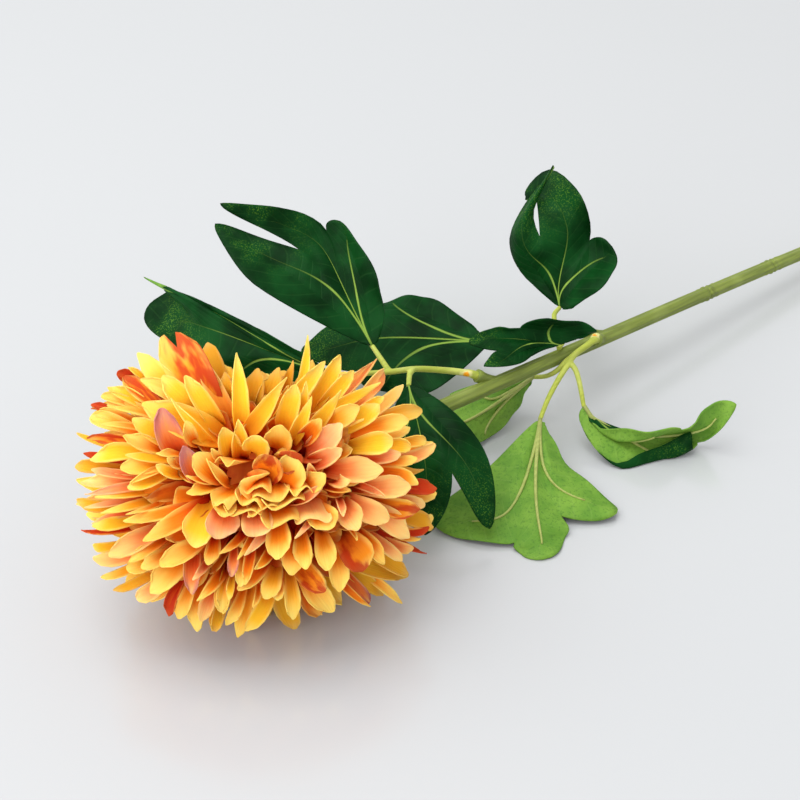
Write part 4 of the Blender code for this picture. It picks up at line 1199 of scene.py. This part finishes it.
def leaf_marks():
    """The ray and the reach of each landmark but the base, in the order of LEAVES."""
    (left, long_left, half_left), (_, long_middle, _), (right, long_right, half_right) = LOBES
    side_left = math.radians(left) + math.atan2(half_left, LOBE_WIDEST * long_left)
    side_right = math.radians(right) - math.atan2(half_right, LOBE_WIDEST * long_right)
    others = (notch_ray(left), notch_ray(right), side_left, side_right)
    return [
        (math.radians(left), long_left),
        (0.0, long_middle),
        (math.radians(right), long_right),
        *((ray, leaf_reach(ray)) for ray in others),
    ]


def on_leaf(ray, reach):
    return (-reach * math.sin(ray), reach * math.cos(ray))


def rib_line(angle, length):
    """A midrib on the flat leaf: all three leave the base as one and part in a curve."""
    share = np.linspace(0.0, 1.0, 28)[:, None]
    fork = point(on_leaf(0.0, RIB_FORK * length))
    end = point(on_leaf(math.radians(angle), RIB_END * length))
    return 2.0 * share * (1.0 - share) * fork + share**2 * end


def off_line(flat, line):
    """How far each flat point is from a line, less than zero on its left."""
    gaps = np.full(len(flat), 1000.0)
    for a, b in zip(line, line[1:]):
        ahead = b - a
        share = np.clip((flat - a) @ ahead / (ahead @ ahead), 0.0, 1.0)
        gap = flat - a - share[:, None] * ahead
        far = np.linalg.norm(gap, axis=1)
        side = np.where(ahead[0] * gap[:, 1] > ahead[1] * gap[:, 0], -1.0, 1.0)
        gaps = np.where(far < np.abs(gaps), side * far, gaps)
    return gaps


def spline_kernel(gaps):
    gaps = np.maximum(gaps, 1e-9)
    return gaps**2 * np.log(gaps)


def bender(flat, bent):
    """The smoothest bending of a flat sheet that takes each flat point to its bent one."""
    count = len(flat)
    ones = np.hstack([np.ones((count, 1)), flat])
    system = np.zeros((count + 3, count + 3))
    system[:count, :count] = spline_kernel(np.linalg.norm(flat[:, None] - flat[None], axis=2))
    system[:count, count:] = ones
    system[count:, :count] = ones.T
    weights = np.linalg.solve(system, np.vstack([bent, np.zeros((3, 3))]))

    def bend(places):
        terms = spline_kernel(np.linalg.norm(places[:, None] - flat[None], axis=2))
        return np.hstack([terms, np.ones((len(places), 1)), places]) @ weights

    return bend


def leaf_rays(marks, total):
    """Rays from the base of the leaf that pass through every landmark."""
    stops = sorted(ray for ray, _ in marks)
    stops = [stops[0] - LEAF_SHOULDER, *stops, stops[-1] + LEAF_SHOULDER]
    rays = []
    for a, b in zip(stops, stops[1:]):
        count = max(2, round((b - a) / (stops[-1] - stops[0]) * total))
        rays.extend(a + (b - a) * step / count for step in range(count))
    return [*rays, stops[-1]]


def sheet_normals(bend, flat):
    step = 0.5
    along_x = bend(flat + (step, 0.0)) - bend(flat - (step, 0.0))
    along_y = bend(flat + (0.0, step)) - bend(flat - (0.0, step))
    return unit(np.cross(along_x, along_y))


def leaf_bender(name, marks):
    more = MORE_MARKS.get(name, ())
    places = [on_leaf(0.0, 0.0), *(on_leaf(*mark) for mark in marks), *(flat for flat, _ in more)]
    return bender(np.array(places), np.array([*LEAVES[name], *(bent for _, bent in more)], float))


class CHRYSANTHEMUM_OT_leaves(bpy.types.Operator):
    """Bends each leaf from the same flat die, with its creases, waves and moulded ribs"""

    bl_idname = "chrysanthemum.leaves"
    bl_label = "Leaves"

    def execute(self, context):
        given = settings("leaf")
        marks = leaf_marks()
        notches = (marks[3][0], marks[4][0])
        rays = leaf_rays(marks, 96)
        rings = [(i + 1) / 24 for i in range(24)]
        upper, under = leaf_upper(given), leaf_under(given)
        plastic = moulded_plastic("rib plastic", given.rib, linear("#8C9A4A"), linear("#C2C98A"))
        for index, name in enumerate(LEAVES):
            bend = leaf_bender(name, marks)
            self.sheet(name, bend, rays, rings, notches, given, index, (upper, under))
            self.ribs(name, bend, notches, rays, given, index, plastic)
        return {"FINISHED"}

    def sheet(self, name, bend, rays, rings, notches, given, index, materials):
        blunt = BLUNT_POINTS.get(name, LOBE_POINT)
        polar = [(0.0, 0.0, 0.0)]
        for ring in rings:
            polar.extend((ray, leaf_reach(ray, blunt) * ring, ring) for ray in rays)
        flat = np.array([on_leaf(ray, reach) for ray, reach, _ in polar])
        lift = np.array([self.crease(ray, reach, ring, notches, rays, given, index) for ray, reach, ring in polar])
        places = bend(flat) + sheet_normals(bend, flat) * lift[:, None]
        places = pressed(places, 0.5 * given.thick + 0.05)
        across = len(rays)
        faces, lobes = [], []
        for i in range(1, across):
            faces.append((0, i + 1, i))
            lobes.append(0.5 * (rays[i - 1] + rays[i]))
        for row in range(len(rings) - 1):
            for i in range(across - 1):
                a = 1 + row * across + i
                faces.append((a, a + 1, a + across + 1, a + across))
                lobes.append(0.5 * (rays[i] + rays[i + 1]))
        piece = object_of(name + "_sheet", on_table(places), [face[::-1] for face in faces])
        layer = piece.data.uv_layers.new(name="lobe")
        for face, ray in zip(piece.data.polygons, lobes):
            angle = LOBES[0][0] if ray > notches[0] else LOBES[2][0] if ray < notches[1] else 0.0
            turn = math.radians(angle)
            for corner in face.loop_indices:
                x, y = flat[piece.data.loops[corner].vertex_index]
                along = -x * math.sin(turn) + y * math.cos(turn)
                aside = x * math.cos(turn) + y * math.sin(turn)
                layer.data[corner].uv = (0.5 + aside / 100.0, along / 100.0)
        ribs = [off_line(flat, rib_line(angle, length)) for angle, length, _ in LOBES]
        reaches = np.linalg.norm(flat, axis=1) / 100.0
        mask = piece.data.color_attributes.new("ribs", "FLOAT_COLOR", "POINT")
        mask.data.foreach_set("color", np.stack([*ribs, reaches], 1).astype(np.float32).ravel())
        cloth = piece.modifiers.new("fabric", "SOLIDIFY")
        cloth.thickness = given.thick * MM
        cloth.offset = 0.0
        cloth.material_offset = 1
        cloth.material_offset_rim = 1 if name in PALE_SIDE_UP else 0
        for material in materials:
            piece.data.materials.append(material)
        apply_all(piece)
        slots = [face.material_index for face in piece.data.polygons]
        fasten(piece, [name], materials)
        piece.data.polygons.foreach_set("material_index", slots)

    def crease(self, ray, reach, ring, notches, rays, given, index):
        """How far the sheet stands off its smooth bending: low along a midrib, waved at the edge."""
        left, right = math.radians(LOBES[0][0]), math.radians(LOBES[2][0])
        if ray > notches[0]:
            off = (ray - left) / (rays[-1] - left) if ray > left else (left - ray) / (left - notches[0])
        elif ray < notches[1]:
            off = (right - ray) / (right - rays[0]) if ray < right else (ray - right) / (notches[1] - right)
        else:
            off = ray / notches[0] if ray > 0 else ray / notches[1]
        fold = given.fold * (min(1.0, off) ** 0.8 - 0.45) * float(soft_step(0.0, 25.0, reach))
        wave = given.wave * ring**3 * math.sin(15.0 * ray + reach / 7.0 + 2.1 * index)
        return fold + wave

    def ribs(self, name, bend, notches, rays, given, index, plastic):
        pieces = []
        for angle, length, _ in LOBES:
            flat = rib_line(angle, length)
            reaches = np.linalg.norm(flat, axis=1)
            radii = 0.3 + 0.75 * (1.0 - reaches / length) ** 1.2
            lift = []
            for (x, y), reach in zip(flat, reaches):
                ray = math.atan2(-x, y)
                lift.append(self.crease(ray, reach, reach / leaf_reach(ray), notches, rays, given, index))
            under = 0.5 * given.thick + 0.5 * radii - np.array(lift)
            places = bend(flat) - sheet_normals(bend, flat) * under[:, None]
            places[:, 2] = np.maximum(places[:, 2], radii + 0.05)
            pieces.append(tube("rib", places, list(radii), 10))
        fasten(join(name + "_ribs", pieces), [name], [plastic])


class CHRYSANTHEMUM_OT_stage(bpy.types.Operator):
    """Sets the pale table, the soft light and the camera"""

    bl_idname = "chrysanthemum.stage"
    bl_label = "Stage"

    def execute(self, context):
        given = settings("stage")
        scene = context.scene
        deselect()
        bpy.ops.mesh.primitive_plane_add(size=8.0, location=(0.0, 0.0, 0.0))
        floor = context.object
        floor.name = "table"
        material, tree, shader = new_material("white lacquer", Roughness=0.2, IOR=1.8)
        spot = node(tree, "ShaderNodeTexCoord", {}).outputs["Object"]
        body = blend(tree, ramp(tree, noise(tree, spot, 3.0), 0.3, 0.7, 0.0, 0.06), given.floor, linear("#B7BBBE"))
        tree.links.new(body, shader.inputs["Base Color"])
        floor.data.materials.append(material)
        world = bpy.data.worlds.new("studio")
        world.use_nodes = True
        world.node_tree.nodes["Background"].inputs[0].default_value = (1.0, 1.0, 1.0, 1.0)
        world.node_tree.nodes["Background"].inputs[1].default_value = given.sky
        scene.world = world
        self.softbox("softbox_back", (-1.65, 1.84, 1.9), (2.0, 1.6), given.key)
        self.softbox("softbox_above", (-0.5, 0.3, 2.3), (1.6, 1.6), given.above)
        self.softbox("softbox_front", (-2.2, -0.3, 1.1), (2.0, 1.6), given.front)
        camera = bpy.data.cameras.new("camera")
        camera.lens = 65.0
        camera.sensor_width = 36.0
        camera.clip_start = 0.01
        holder = bpy.data.objects.new("camera", camera)
        holder.location = (SPOT[0] * MM - 0.24653, SPOT[1] * MM - 0.39208, 0.45049)
        holder.rotation_euler = (math.radians(53.0), 0.0, math.radians(-39.5))
        scene.collection.objects.link(holder)
        scene.camera = holder
        scene.view_settings.view_transform = "Standard"
        return {"FINISHED"}

    def softbox(self, name, place, size, watts):
        light = bpy.data.lights.new(name, "AREA")
        light.shape = "RECTANGLE"
        light.size, light.size_y = size
        light.energy = watts
        lamp = bpy.data.objects.new(name, light)
        lamp.location = place
        lamp.rotation_euler = (Vector((-0.1, 0.0, 0.03)) - lamp.location).to_track_quat("-Z", "Y").to_euler()
        bpy.context.scene.collection.objects.link(lamp)


OPERATORS = (
    CHRYSANTHEMUM_OT_stage,
    CHRYSANTHEMUM_OT_petals,
    CHRYSANTHEMUM_OT_core,
    CHRYSANTHEMUM_OT_calyx,
    CHRYSANTHEMUM_OT_stem,
    CHRYSANTHEMUM_OT_stalks,
    CHRYSANTHEMUM_OT_leaves,
)


class CHRYSANTHEMUM_PT_panel(bpy.types.Panel):
    """Settings and pieces of the chrysanthemum"""

    bl_label = "Chrysanthemum"
    bl_idname = "CHRYSANTHEMUM_PT_panel"
    bl_space_type = "VIEW_3D"
    bl_region_type = "UI"
    bl_category = "Chrysanthemum"

    def draw(self, context):
        for name, group in GROUPS.items():
            box = self.layout.box()
            box.label(text=name.capitalize())
            for key in group.__annotations__:
                box.prop(settings(name), key)
        for operator in OPERATORS:
            self.layout.operator(operator.bl_idname)


CLASSES = (*GROUPS.values(), *OPERATORS, CHRYSANTHEMUM_PT_panel)


def register():
    for kind in CLASSES:
        bpy.utils.register_class(kind)
    for name, group in GROUPS.items():
        setattr(bpy.types.Scene, "chrysanthemum_" + name, bpy.props.PointerProperty(type=group))


def unregister():
    for name in GROUPS:
        delattr(bpy.types.Scene, "chrysanthemum_" + name)
    for kind in reversed(CLASSES):
        bpy.utils.unregister_class(kind)


def main():
    register()
    for operator in OPERATORS:
        family, name = operator.bl_idname.split(".")
        getattr(getattr(bpy.ops, family), name)()


if __name__ == "__main__":
    main()
